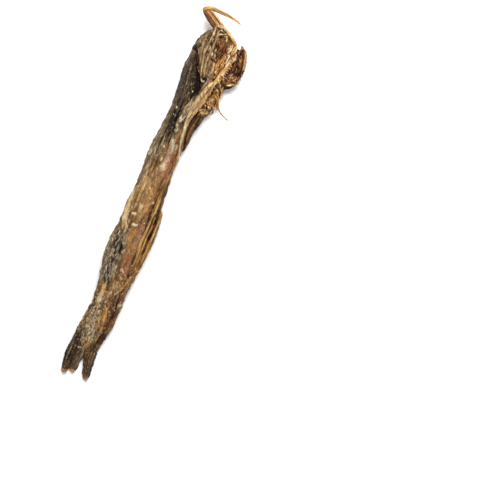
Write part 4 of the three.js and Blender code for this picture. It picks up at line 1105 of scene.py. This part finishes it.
         [(16.4, 76.6, 0.3), (18.8, 74.4, 0.4), (20.0, 71.4, 0.3), (18.2, 69.0, 0.2)],
         [(0.35, 0.4), (0.55, 0.55), (0.55, 0.55), (0.3, 0.35)], grain=0.1, rim=0.4),
    skin("throat_patch", {"straw": 0.6, "chalk": 0.7, "spots": False},
         [(5.8, 95.4, 0.1), (7.6, 93.4, 0.2), (9.2, 90.6, 0.1)],
         [(0.7, 0.5), (1.2, 0.7), (0.7, 0.5)], grain=0.15),
    # a black piece in a slit of the throat, as painted shade
    gill("throat_slit", BLACK_SHADE,
         [(5.4, 93.0, 0.0), (6.8, 91.0, 0.1), (8.2, 88.8, 0.0)],
         [(0.2, 0.2), (0.28, 0.25), (0.2, 0.2)]),
    skin("throat_tags", {"cream": 0.6, "moss": 0.6, "spots": False},
         [(4.4, 87.8, 0.3), (6.0, 86.4, 0.5), (7.6, 87.4, 0.3)],
         [(0.5, 0.5), (0.9, 0.7), (0.5, 0.5)], grain=0.25),
    skin("throat_edge", {"moss": 0.8, "chalk": 0.4, "spots": False},
         [(9.4, 90, 0.0), (8.0, 82, 0.1), (6.3, 75, 0.1), (5.2, 69, 0.0)],
         [(0.5, 0.6), (0.8, 1.0), (0.8, 1.0), (0.4, 0.5)], grain=0.2, ragged=0.2),
    # the neck
    skin("back_ridge_1", {"olive": 0.8},
         [(-5.6, 100, 0.0), (-6.2, 90, 0.2), (-5.0, 78, 0.2), (-4.2, 66, 0.0)],
         [(0.6, 0.5), (1.0, 0.9), (1.0, 0.9), (0.5, 0.4)], relief=TIGHT),
    skin("back_ridge_2", {"olive": 0.6, "moss": 0.3},
         [(-2.4, 90, 0.0), (-1.4, 80, 0.2), (-0.6, 70, 0.2), (-0.4, 60, 0.0)],
         [(0.5, 0.4), (0.8, 0.8), (0.8, 0.8), (0.4, 0.4)], relief=TIGHT),
    skin("back_ridge_3", {"moss": 0.8},
         [(-5.4, 58, 0.0), (-5.8, 48, 0.2), (-6.2, 38, 0.2), (-5.4, 24, 0.0)],
         [(0.5, 0.4), (0.9, 0.8), (0.9, 0.8), (0.5, 0.4)], relief=TIGHT),
    skin("back_ridge_4", {"grey": 0.6, "cream": 0.3},
         [(-2.4, 47, 0.0), (-1.6, 43, 0.2), (-0.6, 38, 0.2), (-0.2, 32, 0.0)],
         [(0.3, 0.3), (0.5, 0.5), (0.5, 0.5), (0.3, 0.3)], relief=TIGHT),
    skin("neck_wedge", {"grey": 0.9, "blush": 0.2},
         [(4.9, 77, 0.2), (4.3, 69, 0.3), (3.5, 61, 0.3), (3.5, 53, 0.2), (4.3, 45, 0.0)],
         [(0.7, 0.5), (1.7, 0.8), (2.2, 0.8), (1.8, 0.7), (0.6, 0.4)],
         grain=0.3, ragged=0.25, relief=SHREDDED, rim=0.4),
    skin("neck_fill", {"rust": 0.6, "straw": 0.5, "spots": False},
         [(5.8, 66, 0.2), (5.7, 60, 0.5), (5.8, 54, 0.5), (6.2, 48, 0.3), (6.6, 42, 0.0)],
         [(0.4, 0.4), (0.9, 0.8), (1.1, 0.8), (1.1, 0.7), (0.5, 0.4)], grain=0.15, relief=TIGHT, rim=0.2),
    skin("throat_line", {"straw": 1.0, "cream": 0.75},
         [(6.6, 66, 0.0), (7.1, 60, 0.2), (8.0, 54, 0.3), (8.7, 49, 0.3), (9.5, 44, 0.3), (10.6, 39, 0.3),
          (11.4, 34.6, 0.0)],
         [(0.4, 0.4), (0.7, 0.6), (0.7, 0.7), (0.7, 0.7), (0.6, 0.7), (0.6, 0.6), (0.3, 0.4)],
         pitch=2.0, relief=TIGHT),
    skin("belly_ridge", {"rust": 0.8, "soot": 0.25},
         [(13.2, 64.4, 0.0), (12.0, 59, 0.2), (11.4, 53, 0.2), (11.8, 47, 0.0)],
         [(0.4, 0.4), (0.6, 0.6), (0.5, 0.5), (0.3, 0.3)], relief=TIGHT),
    # the body
    skin("side_band", {"straw": 0.9, "cream": 0.15, "smooth": True},
         [(-4.4, 9, 0.0), (-5.4, 0, 0.1), (-5.2, -9, 0.1), (-3.4, -17, 0.1), (-0.8, -23, 0.1),
          (1.6, -29, 0.0)],
         [(0.6, 0.4), (1.7, 0.8), (2.1, 0.9), (1.8, 0.8), (1.2, 0.7), (0.4, 0.3)],
         pitch=2.0, relief=TIGHT, rim=0.0),
    skin("seam_edge", {"cream": 0.5, "amber": 0.5},
         [(-4.3, 11.8, 0.1), (-4.1, 6, 0.2), (-3.9, 0, 0.2), (-3.5, -5.6, 0.1)],
         [(0.25, 0.3), (0.42, 0.45), (0.42, 0.45), (0.25, 0.3)],
         grain=0.2, ragged=0.3, relief=TIGHT, rim=0.3),
    skin("side_seam", {"amber": 0.3, "straw": 0.7},
         [(-3.4, 12, 0.0), (-3.2, 4, 0.1), (-3.0, -4, 0.1), (-1.8, -12, 0.0)],
         [(0.4, 0.4), (0.6, 0.6), (0.6, 0.6), (0.4, 0.3)], grain=0.3, relief=SHREDDED, rim=0.4),
    skin("belly_rim_top", {"rust": 0.7, "straw": 0.4},
         [(11.6, 30, 0.0), (11.2, 20, 0.3), (11.1, 11, 0.2), (11.8, 3, 0.0)],
         [(0.3, 0.4), (0.55, 0.7), (0.6, 0.7), (0.3, 0.4)], pitch=2.0, relief=TIGHT, rim=0.4),
    skin("belly_rim", {"amber": 1.0, "cream": 0.35},
         [(11.6, 7, 0.1), (12.3, -2, 0.5), (12.5, -9, 0.5), (12.4, -16, 0.4), (12.0, -24, 0.3),
          (12.6, -32, 0.2), (13.4, -42, 0.0)],
         [(0.3, 0.4), (0.7, 0.8), (0.8, 0.9), (0.8, 0.9), (0.7, 0.8), (0.6, 0.7), (0.3, 0.4)],
         pitch=2.0, relief=TIGHT, rim=0.35),
    skin("flank_rim", {"amber": 1.0},
         [(13.9, -6, 0.0), (14.0, -16, 0.2), (14.2, -26, 0.2), (14.6, -38, 0.0)],
         [(0.4, 0.4), (0.6, 0.7), (0.7, 0.7), (0.4, 0.4)], pitch=2.0, relief=TIGHT, rim=0.4),
    skin("cream_patch", {"amber": 0.5, "smooth": True},
         [(2.6, -55.6, 0.0), (1.8, -60.6, 0.2), (2.2, -66.5, 0.3), (1.6, -74.4, 0.1)],
         [(0.5, 0.4), (1.5, 0.8), (1.9, 0.9), (1.0, 0.5)], rim=0.2),
    skin("golden_strip", {"straw": 0.4, "amber": 0.85, "smooth": True},
         [(8.8, -73, 0.0), (9.2, -77.6, 0.3), (10.0, -83, 0.3), (11.2, -89, 0.0)],
         [(0.5, 0.4), (1.5, 0.8), (1.3, 0.8), (0.5, 0.4)], relief=TIGHT, rim=0.3),
    skin("orange_streak", {"amber": 1.0, "smooth": True},
         [(14.8, -48.6, 0.0), (14.0, -53, 0.3), (12.9, -57.4, 0.3), (11.6, -60.6, 0.0)],
         [(0.4, 0.4), (0.7, 0.6), (0.7, 0.6), (0.3, 0.3)], rim=0.2),
    skin("tan_lump", {"cream": 0.5},
         [(15.6, -66.8, 0.1), (15.3, -70.4, 0.1)],
         [(1.2, 0.7), (1.3, 0.7)]),
    skin("crumple_1", CRUMPLED,
         [(-5.6, -20.6, 0.0), (-3.2, -25, 0.3), (-1.5, -30, 0.4), (-0.8, -36, 0.1)],
         [(0.4, 0.4), (0.7, 0.7), (0.7, 0.8), (0.4, 0.4)], grain=0.2, relief=SHREDDED, rim=0.4),
    skin("crumple_2", CRUMPLED,
         [(-2.4, -22, 0.0), (0.2, -26, 0.3), (2.2, -30.6, 0.4), (3.4, -36, 0.2), (3.8, -42, 0.0)],
         [(0.3, 0.3), (0.6, 0.6), (0.8, 0.9), (0.6, 0.7), (0.4, 0.4)],
         grain=0.2, relief=SHREDDED, rim=0.4),
    skin("crumple_3", CRUMPLED,
         [(-6.4, -26, 0.0), (-5.0, -32, 0.3), (-3.8, -38, 0.3), (-3.2, -45, 0.0)],
         [(0.4, 0.4), (0.8, 0.8), (0.8, 0.8), (0.4, 0.4)], grain=0.2, relief=SHREDDED, rim=0.4),
    skin("crumple_4", CRUMPLED,
         [(0.4, -32.6, 0.0), (0.4, -36.6, 0.3), (-0.6, -41, 0.0)],
         [(0.3, 0.3), (0.6, 0.6), (0.4, 0.4)], grain=0.2, relief=SHREDDED, rim=0.4),
    skin("crumple_5", CRUMPLED,
         [(-5.8, -40, 0.0), (-4.0, -45, 0.3), (-2.6, -51, 0.3), (-1.6, -57, 0.0)],
         [(0.4, 0.4), (0.9, 0.8), (0.9, 0.8), (0.4, 0.4)], grain=0.2, relief=SHREDDED, rim=0.4),
    skin("crumple_6", CRUMPLED,
         [(-1.6, -43, 0.0), (0.2, -47.6, 0.4), (2.0, -52, 0.3), (4.0, -56.6, 0.0)],
         [(0.4, 0.4), (0.9, 0.9), (0.9, 0.8), (0.4, 0.4)], grain=0.2, relief=SHREDDED, rim=0.4),
    skin("tail_ridge_1", {"moss": 0.8},
         [(-2.2, -74, 0.0), (-2.6, -84, 0.2), (-3.2, -94, 0.2), (-3.6, -102, 0.0)],
         [(0.4, 0.4), (0.7, 0.8), (0.7, 0.8), (0.4, 0.4)], grain=0.15, relief=TIGHT),
    skin("tail_ridge_2", {"moss": 0.7, "olive": 0.3},
         [(6.4, -78, 0.0), (7.8, -86, 0.3), (9.2, -94, 0.3), (8.8, -102, 0.0)],
         [(0.4, 0.4), (0.8, 0.8), (0.8, 0.8), (0.4, 0.4)], grain=0.15, relief=TIGHT),
    skin("fin_tip_1", {"rust": 1.0, "amber": 0.5, "spots": False},
         [(-2.4, -121.2, 0.0), (-0.8, -122.4, 0.1), (1.2, -121.8, 0.0)],
         [(0.6, 0.5), (1.0, 0.7), (0.6, 0.5)], rim=0.3),
    skin("fin_tip_2", {"rust": 1.0, "amber": 0.5, "spots": False},
         [(2.6, -119.6, 0.0), (4.2, -120.2, 0.1), (5.8, -119.6, 0.0)],
         [(0.6, 0.5), (0.9, 0.6), (0.6, 0.5)], rim=0.3),
    skin("fin_tip_3", {"rust": 1.0, "amber": 0.4, "spots": False},
         [(13.0, -120.8, 0.0), (14.6, -121.6, 0.1), (15.8, -121.2, 0.0)],
         [(0.6, 0.5), (0.9, 0.6), (0.6, 0.5)], rim=0.3),
    skin("tail_swell", {"straw": 1.0, "amber": 0.2, "cream": 0.5, "chalk": 0.2},
         [(3.0, -76, 0.0), (4.2, -84, 0.3), (4.2, -92, 0.3), (3.4, -102, 0.0)],
         [(0.9, 0.5), (2.0, 1.0), (2.4, 1.0), (1.2, 0.6)], grain=0.2, relief=SHREDDED, rim=0.2),
]

# Beds of torn shreds: (name, finish, start, end, spread, count, turns in degrees, reaches, half widths), then
# the tones that the shreds take in turn. A reach is half a shred's length.
SHRED_BEDS = [
    ("gill_shred", "dried_gill", (15.6, 90.4), (26.4, 95.6), 2.6, 20, (0, 180), (0.9, 2.1), (0.3, 0.62),
     ({"blush": 0.7}, {"amber": 0.8}, {"cream": 0.7}, {"soot": 0.9}, {"amber": 0.4},
      {"blush": 0.4, "cream": 0.3})),
    ("gullet_shred", "dried_gill", (15.4, 85.0), (14.2, 66.5), 2.6, 12, (0, 180), (0.9, 2.1), (0.3, 0.62),
     ({"cream": 0.6}, {"amber": 0.8}, {"soot": 0.9}, {"amber": 0.5}, {"cream": 0.4, "amber": 0.4})),
    ("mouth_shred", "dried_gill", (21.4, 111.0), (23.6, 99.0), 2.0, 9, (60, 120), (1.0, 2.2), (0.25, 0.5),
     ({"soot": 0.8}, {"blush": 0.5}, {"amber": 0.5}, {"soot": 0.5})),
    ("eye_shred", "dried_skin", (0.2, 122.6), (9.6, 119.2), 1.8, 30, (0, 180), (0.4, 1.1), (0.25, 0.45),
     ({"straw": 1.0, "cream": 0.9}, {"soot": 1.0}, {"straw": 1.0, "cream": 0.5},
      {"straw": 1.0, "cream": 0.7}, {"soot": 0.5, "rust": 1.0})),
    ("muscle_shred", "dried_gill", (5.0, 113.4), (11.0, 105.0), 2.6, 22, (80, 102), (1.2, 3.0),
     (0.2, 0.36),
     ({"soot": 0.8}, {"amber": 0.35}, {"soot": 0.4}, {"amber": 0.5, "soot": 0.2}, {"soot": 0.6},
      {"soot": 0.2})),
    ("cheek_shred", "dried_skin", (0.0, 116.0), (3.6, 98.0), 1.8, 9, (84, 108), (1.0, 2.6), (0.2, 0.36),
     ({"soot": 0.9}, {"straw": 0.9}, {"moss": 0.8}, {"soot": 0.7, "rust": 1.0},
      {"straw": 0.9, "cream": 0.4})),
    ("temple_shred", "dried_skin", (-5.4, 111.4), (-3.0, 101.0), 1.3, 10, (96, 124), (1.0, 2.6),
     (0.2, 0.36),
     ({"soot": 0.8}, {"moss": 0.8}, {"grey": 0.9}, {"straw": 0.7})),
    ("sheet_shred", "dried_bone", (12.6, 105.0), (12.2, 92.0), 1.8, 12, (50, 130), (0.6, 1.6),
     (0.25, 0.5),
     ({"rust": 1.0}, {"amber": 0.9}, {"cream": 0.5, "amber": 0.5}, {"rust": 0.7, "soot": 0.5})),
    ("maxilla_shred", "dried_bone", (13.6, 115.6), (14.6, 107.6), 1.0, 8, (70, 110), (0.5, 1.3),
     (0.15, 0.3),
     ({"amber": 0.6}, {"rust": 0.8}, {"cream": 0.7}, {"chalk": 0.6, "cream": 0.4})),
    ("gum_shred", "dried_gill", (18.8, 111.4), (18.4, 104.2), 0.9, 9, (60, 120), (0.5, 1.2), (0.15, 0.3),
     ({"blush": 1.0, "cream": 0.5}, {"soot": 0.5}, {"amber": 0.7}, {"blush": 1.0})),
    ("throat_shred", "dried_skin", (7.0, 96.0), (8.6, 88.0), 1.4, 10, (90, 130), (0.6, 1.8), (0.22, 0.42),
     ({"chalk": 0.6, "straw": 0.6}, {"moss": 0.8}, {"soot": 0.4}, {"straw": 0.8})),
    ("patch_strand", "dried_skin", (-2.8, -23.0), (1.0, -58.0), 2.5, 34, (76, 118), (1.8, 4.2),
     (0.26, 0.5),
     ({"grey": 1.0, "chalk": 0.8}, {"soot": 0.9}, {"grey": 1.0, "chalk": 0.2}, {"soot": 0.8},
      {"olive": 1.0, "moss": 0.5}, {"grey": 1.0, "chalk": 0.5})),
    ("lower_strand", "dried_skin", (8.4, -50.0), (5.4, -72.0), 3.4, 32, (76, 104), (0.7, 1.6),
     (0.2, 0.36),
     ({"straw": 1.0, "chalk": 0.35}, {"rust": 1.0, "soot": 0.4}, {"straw": 0.9},
      {"cream": 0.9, "straw": 0.9}, {"rust": 1.0, "soot": 0.6})),
    ("tail_strand", "dried_skin", (3.2, -76.0), (4.4, -101.0), 3.6, 56, (76, 104), (0.7, 1.5),
     (0.22, 0.42),
     ({"straw": 1.0, "chalk": 0.8}, {"straw": 1.0, "cream": 0.7}, {"grey": 1.0, "cream": 0.5},
      {"straw": 1.0, "chalk": 0.6}, {"straw": 1.0, "amber": 0.6}, {"rust": 1.0, "soot": 0.5},
      {"straw": 1.0, "cream": 1.0, "chalk": 0.4})),
    ("neck_shred", "dried_skin", (12.0, 86.0), (8.0, 66.0), 1.7, 12, (90, 124), (0.8, 2.2), (0.25, 0.45),
     ({"amber": 0.8}, {"cream": 0.8}, {"straw": 0.9, "rust": 0.4}, {"amber": 1.0, "cream": 0.5})),
]
BED_NARROWING = 0.4                   # how much narrower a bed is at its end
SHRED_LIFT = 0.3                      # of a shred's middle over what is below
LONG_SHRED = 2.2                      # shreds that reach further curl less
LONG_CURL = 0.4
CURL = 0.5
SMALL_STRIP_RINGS = [(0.0, 0.3), (0.12, 0.8), (0.36, 1.0), (0.64, 1.0), (0.88, 0.8), (1.0, 0.3)]

# Flecks: (x, y, half width, half length, turn)
FLECKS = [
    (0.2, -9.6, 1.2, 0.8, 10), (1.0, -8.6, 0.6, 0.4, 0), (3.4, -16.4, 1.0, 0.8, 0),
    (4.9, -15.8, 0.8, 0.7, 20), (2.6, -15.6, 0.5, 0.4, 0), (8.5, 1.6, 0.6, 0.6, 0),
    (3.4, -3.2, 0.45, 0.7, 0), (3.5, -4.7, 0.4, 0.6, 12), (3.3, 9.4, 0.4, 0.5, 0),
    (6.0, 3.6, 0.4, 0.6, 0), (5.2, 25.6, 0.7, 1.0, 0), (6.0, 24.2, 0.5, 0.6, 0),
    (2.2, 30.2, 0.5, 0.6, 0), (-6.8, 29.8, 0.5, 0.6, 0), (-2.4, 64.4, 0.4, 0.7, 0),
    (2.8, 59.2, 0.7, 0.9, 10), (3.8, 57.2, 0.5, 0.6, 0), (2.6, 54.0, 0.6, 0.6, 0),
    (4.1, 50.8, 0.4, 0.6, 0), (0.0, 38.0, 0.7, 0.6, 0), (-2.4, 59.6, 0.3, 0.4, 0),
    (4.8, 42.8, 0.5, 0.4, 0), (2.4, 78.4, 0.4, 0.7, 0), (9.0, -12.6, 0.4, 0.5, 0),
]
FLECK_HEIGHT = 0.45
FLECK_LIFT = 0.1

# The seed of the first piece of each group, and of the chances that the shreds are drawn from
MAIN_SEED = 1.0
FLANK_SEED = 10.0
ARCH_SEED = 21.0
THREAD_SEED = 26.0
LOBE_SEED = 30.0
RAY_SEED = 33.0
RAY_SEED_STEP = 5                     # from one lobe's rays to the next lobe's
BONE_SEED = 40.0
TOOTH_SEED = 60.0
UPPER_SEED = 80.0
SHRED_SEED = 140.0
CHANCE_SEED = 5


def place(piece, finish):
    """Takes a finished piece from its layout in millimetres to the frame, and gives it its finish"""
    piece.data.transform(Matrix.Scale(MM, 4) @ Matrix.Translation(-MIDDLE))
    piece.data.materials.clear()
    piece.data.materials.append(FINISHES[finish])
    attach(piece, BODY)


def built(strips, seed, **usual):
    """The pieces of a list of strips, each with its finish. usual has what the strips have in common."""
    made = []
    for i, strip in enumerate(strips):
        said = {**usual, **strip, "seed": seed + i}
        finish = said.pop("finish")
        made.append((skin_strip(**said), finish))
    return made


def tail_fin():
    """Two lobes side by side, a third one beside them, and the rays of each"""
    made = []
    for i, (route, half, ray_tones) in enumerate(TAIL_LOBES):
        lobe = skin(f"tail_lobe_{i + 1}", LOBE_TONE, route, half)
        made += built([lobe], LOBE_SEED + i, relief=TIGHT, pitch=2.2, end=0.02, ragged=0.08)
        rays = []
        for j, (off, tone) in enumerate(zip(RAY_PLACES, ray_tones)):
            way = [
                (x + off * width, y, z + RAY_LIFT * height * math.sqrt(1 - off * off))
                for (x, y, z), (width, height) in zip(route[1:], half[1:])
            ]
            rays.append(skin(f"tail_ray_{i + 1}_{j + 1}", tone, way, RAY_HALF))
        made += built(rays, RAY_SEED + i * RAY_SEED_STEP, sides=8, levels=2, relief=BONY, pitch=1.6)
    return made


def teeth(model):
    """The teeth as strips, each pointing out of the mouth and a little down"""
    listed = []
    for i in range(TOOTH_COUNT):
        x, y, z = smooth_way(BAR_WAY, [FIRST_TOOTH + TEETH_SPAN * i / (TOOTH_COUNT - 1)])[0]
        foot = x + TOOTH_FOOT
        reach = TOOTH_REACH + REACH_SPREAD * math.sin(i * REACH_TURN)
        way = [(foot, y, z)]
        way += [(foot + share * reach, y + dy, z + dz) for share, dy, dz in (TOOTH_MIDDLE, TOOTH_TIP)]
        listed.append(bone(f"tooth_{i + 1}", TOOTH_TONE, way, TOOTH_HALF, model=model))
    return listed


def small_strip():
    """The straight strip that every tooth and shred is a copy of"""
    rings = [(y, size, size) for y, size in SMALL_STRIP_RINGS]
    return extruded_strip("small_strip", rings, sides=8, levels=0)


def torn_shreds(lie, model):
    """Small torn strips on the head, the gills, the throat, the crumpled side and the tail"""
    chance = random.Random(CHANCE_SEED)
    listed = []
    for name, finish, start, end, spread, count, turns, reaches, widths, tones in SHRED_BEDS:
        for i in range(count):
            share = (i + chance.random()) / count
            narrowed = 1 - BED_NARROWING * share
            x = start[0] + (end[0] - start[0]) * share + chance.uniform(-spread, spread) * narrowed
            y = start[1] + (end[1] - start[1]) * share + chance.uniform(-spread, spread) * narrowed
            turn = math.radians(chance.uniform(*turns))
            reach = chance.uniform(*reaches)
            dx, dy = math.cos(turn) * reach, math.sin(turn) * reach
            bend = chance.uniform(-CURL, CURL) * (LONG_CURL if reach > LONG_SHRED else 1.0) / 2
            way = [(x - dx, y - dy, 0.0), (x + dy * bend, y - dx * bend, SHRED_LIFT), (x + dx, y + dy, 0.0)]
            thick = chance.uniform(*widths)
            listed.append(dict(name=f"{name}_{i + 1}", finish=finish, route=lie.over(way),
                               half=[(thick, thick)] * 3, tone={"spots": False, **tones[i % len(tones)]}))
    return built(listed, SHRED_SEED, model=model, relief=TIGHT, rim=0.3)


def salt_flecks(lie):
    """One fleck, copied with its own mesh to each place where the skin carries one"""
    first = skin_strip("salt_fleck", [(0, -1, 0), (0, 0, 0), (0, 1, 0)], [(0.8, 0.5), (1.0, 0.6), (0.8, 0.5)],
                       sides=8, levels=2, pitch=0.5, relief=SHREDDED, grain=0.25, ragged=0.4)
    made = []
    for i, (x, y, half_width, half_length, turn) in enumerate(FLECKS):
        piece = copied(first, f"salt_fleck_{i + 1}")
        piece.data.transform(
            Matrix.Translation((x, y, (lie.height(x, y) or 0.0) + FLECK_LIFT))
            @ Matrix.Rotation(math.radians(turn), 4, "Z")
            @ Matrix.Diagonal((half_width, half_length, FLECK_HEIGHT, 1.0))
        )
        made.append((piece, "salt_fleck"))
    bpy.data.objects.remove(first)
    return made


def build_fish():
    model = small_strip()
    base = built(MAIN_STRIPS, MAIN_SEED)
    base += built(FLANK_STRIPS, FLANK_SEED, relief=TIGHT, pitch=2.0)
    base += tail_fin()
    base += built(HEAD_BONES, BONE_SEED, sides=10, relief=BONY, pitch=1.6)
    base += built(teeth(model), TOOTH_SEED)
    base += built(GILL_ARCHES, ARCH_SEED, sides=10, relief=SHREDDED, grain=0.3, ragged=0.15, pitch=1.5)
    base += built(GILL_THREADS, THREAD_SEED, sides=8, levels=2, relief=BONY, pitch=1.4)
    lie = Lie([piece for piece, _ in base])
    laid = [{**strip, "route": lie.over(strip["route"])} for strip in UPPER_STRIPS]
    over = built(laid, UPPER_SEED, sides=8, levels=2, pitch=1.3, rim=0.7)
    lie = Lie([piece for piece, _ in base + over])
    over += torn_shreds(lie, model)
    over += salt_flecks(lie)
    bpy.data.objects.remove(model)
    for piece, finish in base + over:
        place(piece, finish)
    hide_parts("dried_fish")


# The studio. A light has its place and its width in millimetres, and its power in watts
FLOOR_WIDTH_M = 4.0
FLOOR_COLOUR = (0.9, 0.9, 0.9)
FLOOR_ROUGHNESS = 0.8
KEY_LIGHT = ((-60, 640, 700), 800, 17.0)
SIDE_LIGHT = ((620, -60, 640), 500, 2.6)
SKY_COLOUR = (1.0, 1.0, 1.0, 1.0)
SKY_STRENGTH = 0.3


def floor():
    start_object_mode()
    bpy.ops.mesh.primitive_plane_add(size=FLOOR_WIDTH_M)
    ground = bpy.context.object
    ground.name = "floor"
    pale_floor = Finish("pale_floor").finished(base_color=FLOOR_COLOUR, roughness=FLOOR_ROUGHNESS)
    ground.data.materials.append(pale_floor)


def area_light(name, place_mm, size_mm, power):
    lamp = bpy.data.objects.new(name, bpy.data.lights.new(name, "AREA"))
    lamp.data.shape = "DISK"
    lamp.data.size = size_mm * MM
    lamp.data.energy = power
    lamp.location = Vector(place_mm) * MM
    lamp.rotation_euler = (-Vector(place_mm)).to_track_quat("-Z", "Y").to_euler()
    bpy.context.scene.collection.objects.link(lamp)


def studio():
    area_light("key_light", *KEY_LIGHT)
    area_light("side_light", *SIDE_LIGHT)
    world = bpy.data.worlds.new("studio")
    world.use_nodes = True
    background = world.node_tree.nodes["Background"]
    background.inputs["Color"].default_value = SKY_COLOUR
    background.inputs["Strength"].default_value = SKY_STRENGTH
    bpy.context.scene.world = world
    bpy.context.scene.view_settings.view_transform = "Standard"


def layout_spot(px, py):
    """The place on the layout, in millimetres, that a pixel of the photograph shows"""
    right, up = px - FISH_AT_PX[0], FISH_AT_PX[1] - py
    return Vector((
        (right * math.cos(FISH_TURN) - up * math.sin(FISH_TURN)) * PX_MM,
        (right * math.sin(FISH_TURN) + up * math.cos(FISH_TURN)) * PX_MM,
        0.0,
    ))


def camera():
    """Straight above the middle of the photograph, turned so that the fish leans as it does there"""
    above = layout_spot(PICTURE_PX / 2, PICTURE_PX / 2) - MIDDLE
    eye = bpy.data.objects.new("camera", bpy.data.cameras.new("camera"))
    eye.location = (above + Vector((0, 0, CAMERA_HEIGHT + UPPER_SIDE))) * MM
    eye.rotation_euler = (0.0, 0.0, FISH_TURN)
    eye.data.lens = eye.data.sensor_width * CAMERA_HEIGHT / (PICTURE_PX * PX_MM)
    bpy.context.scene.collection.objects.link(eye)
    bpy.context.scene.camera = eye


build_fish()
floor()
studio()
camera()
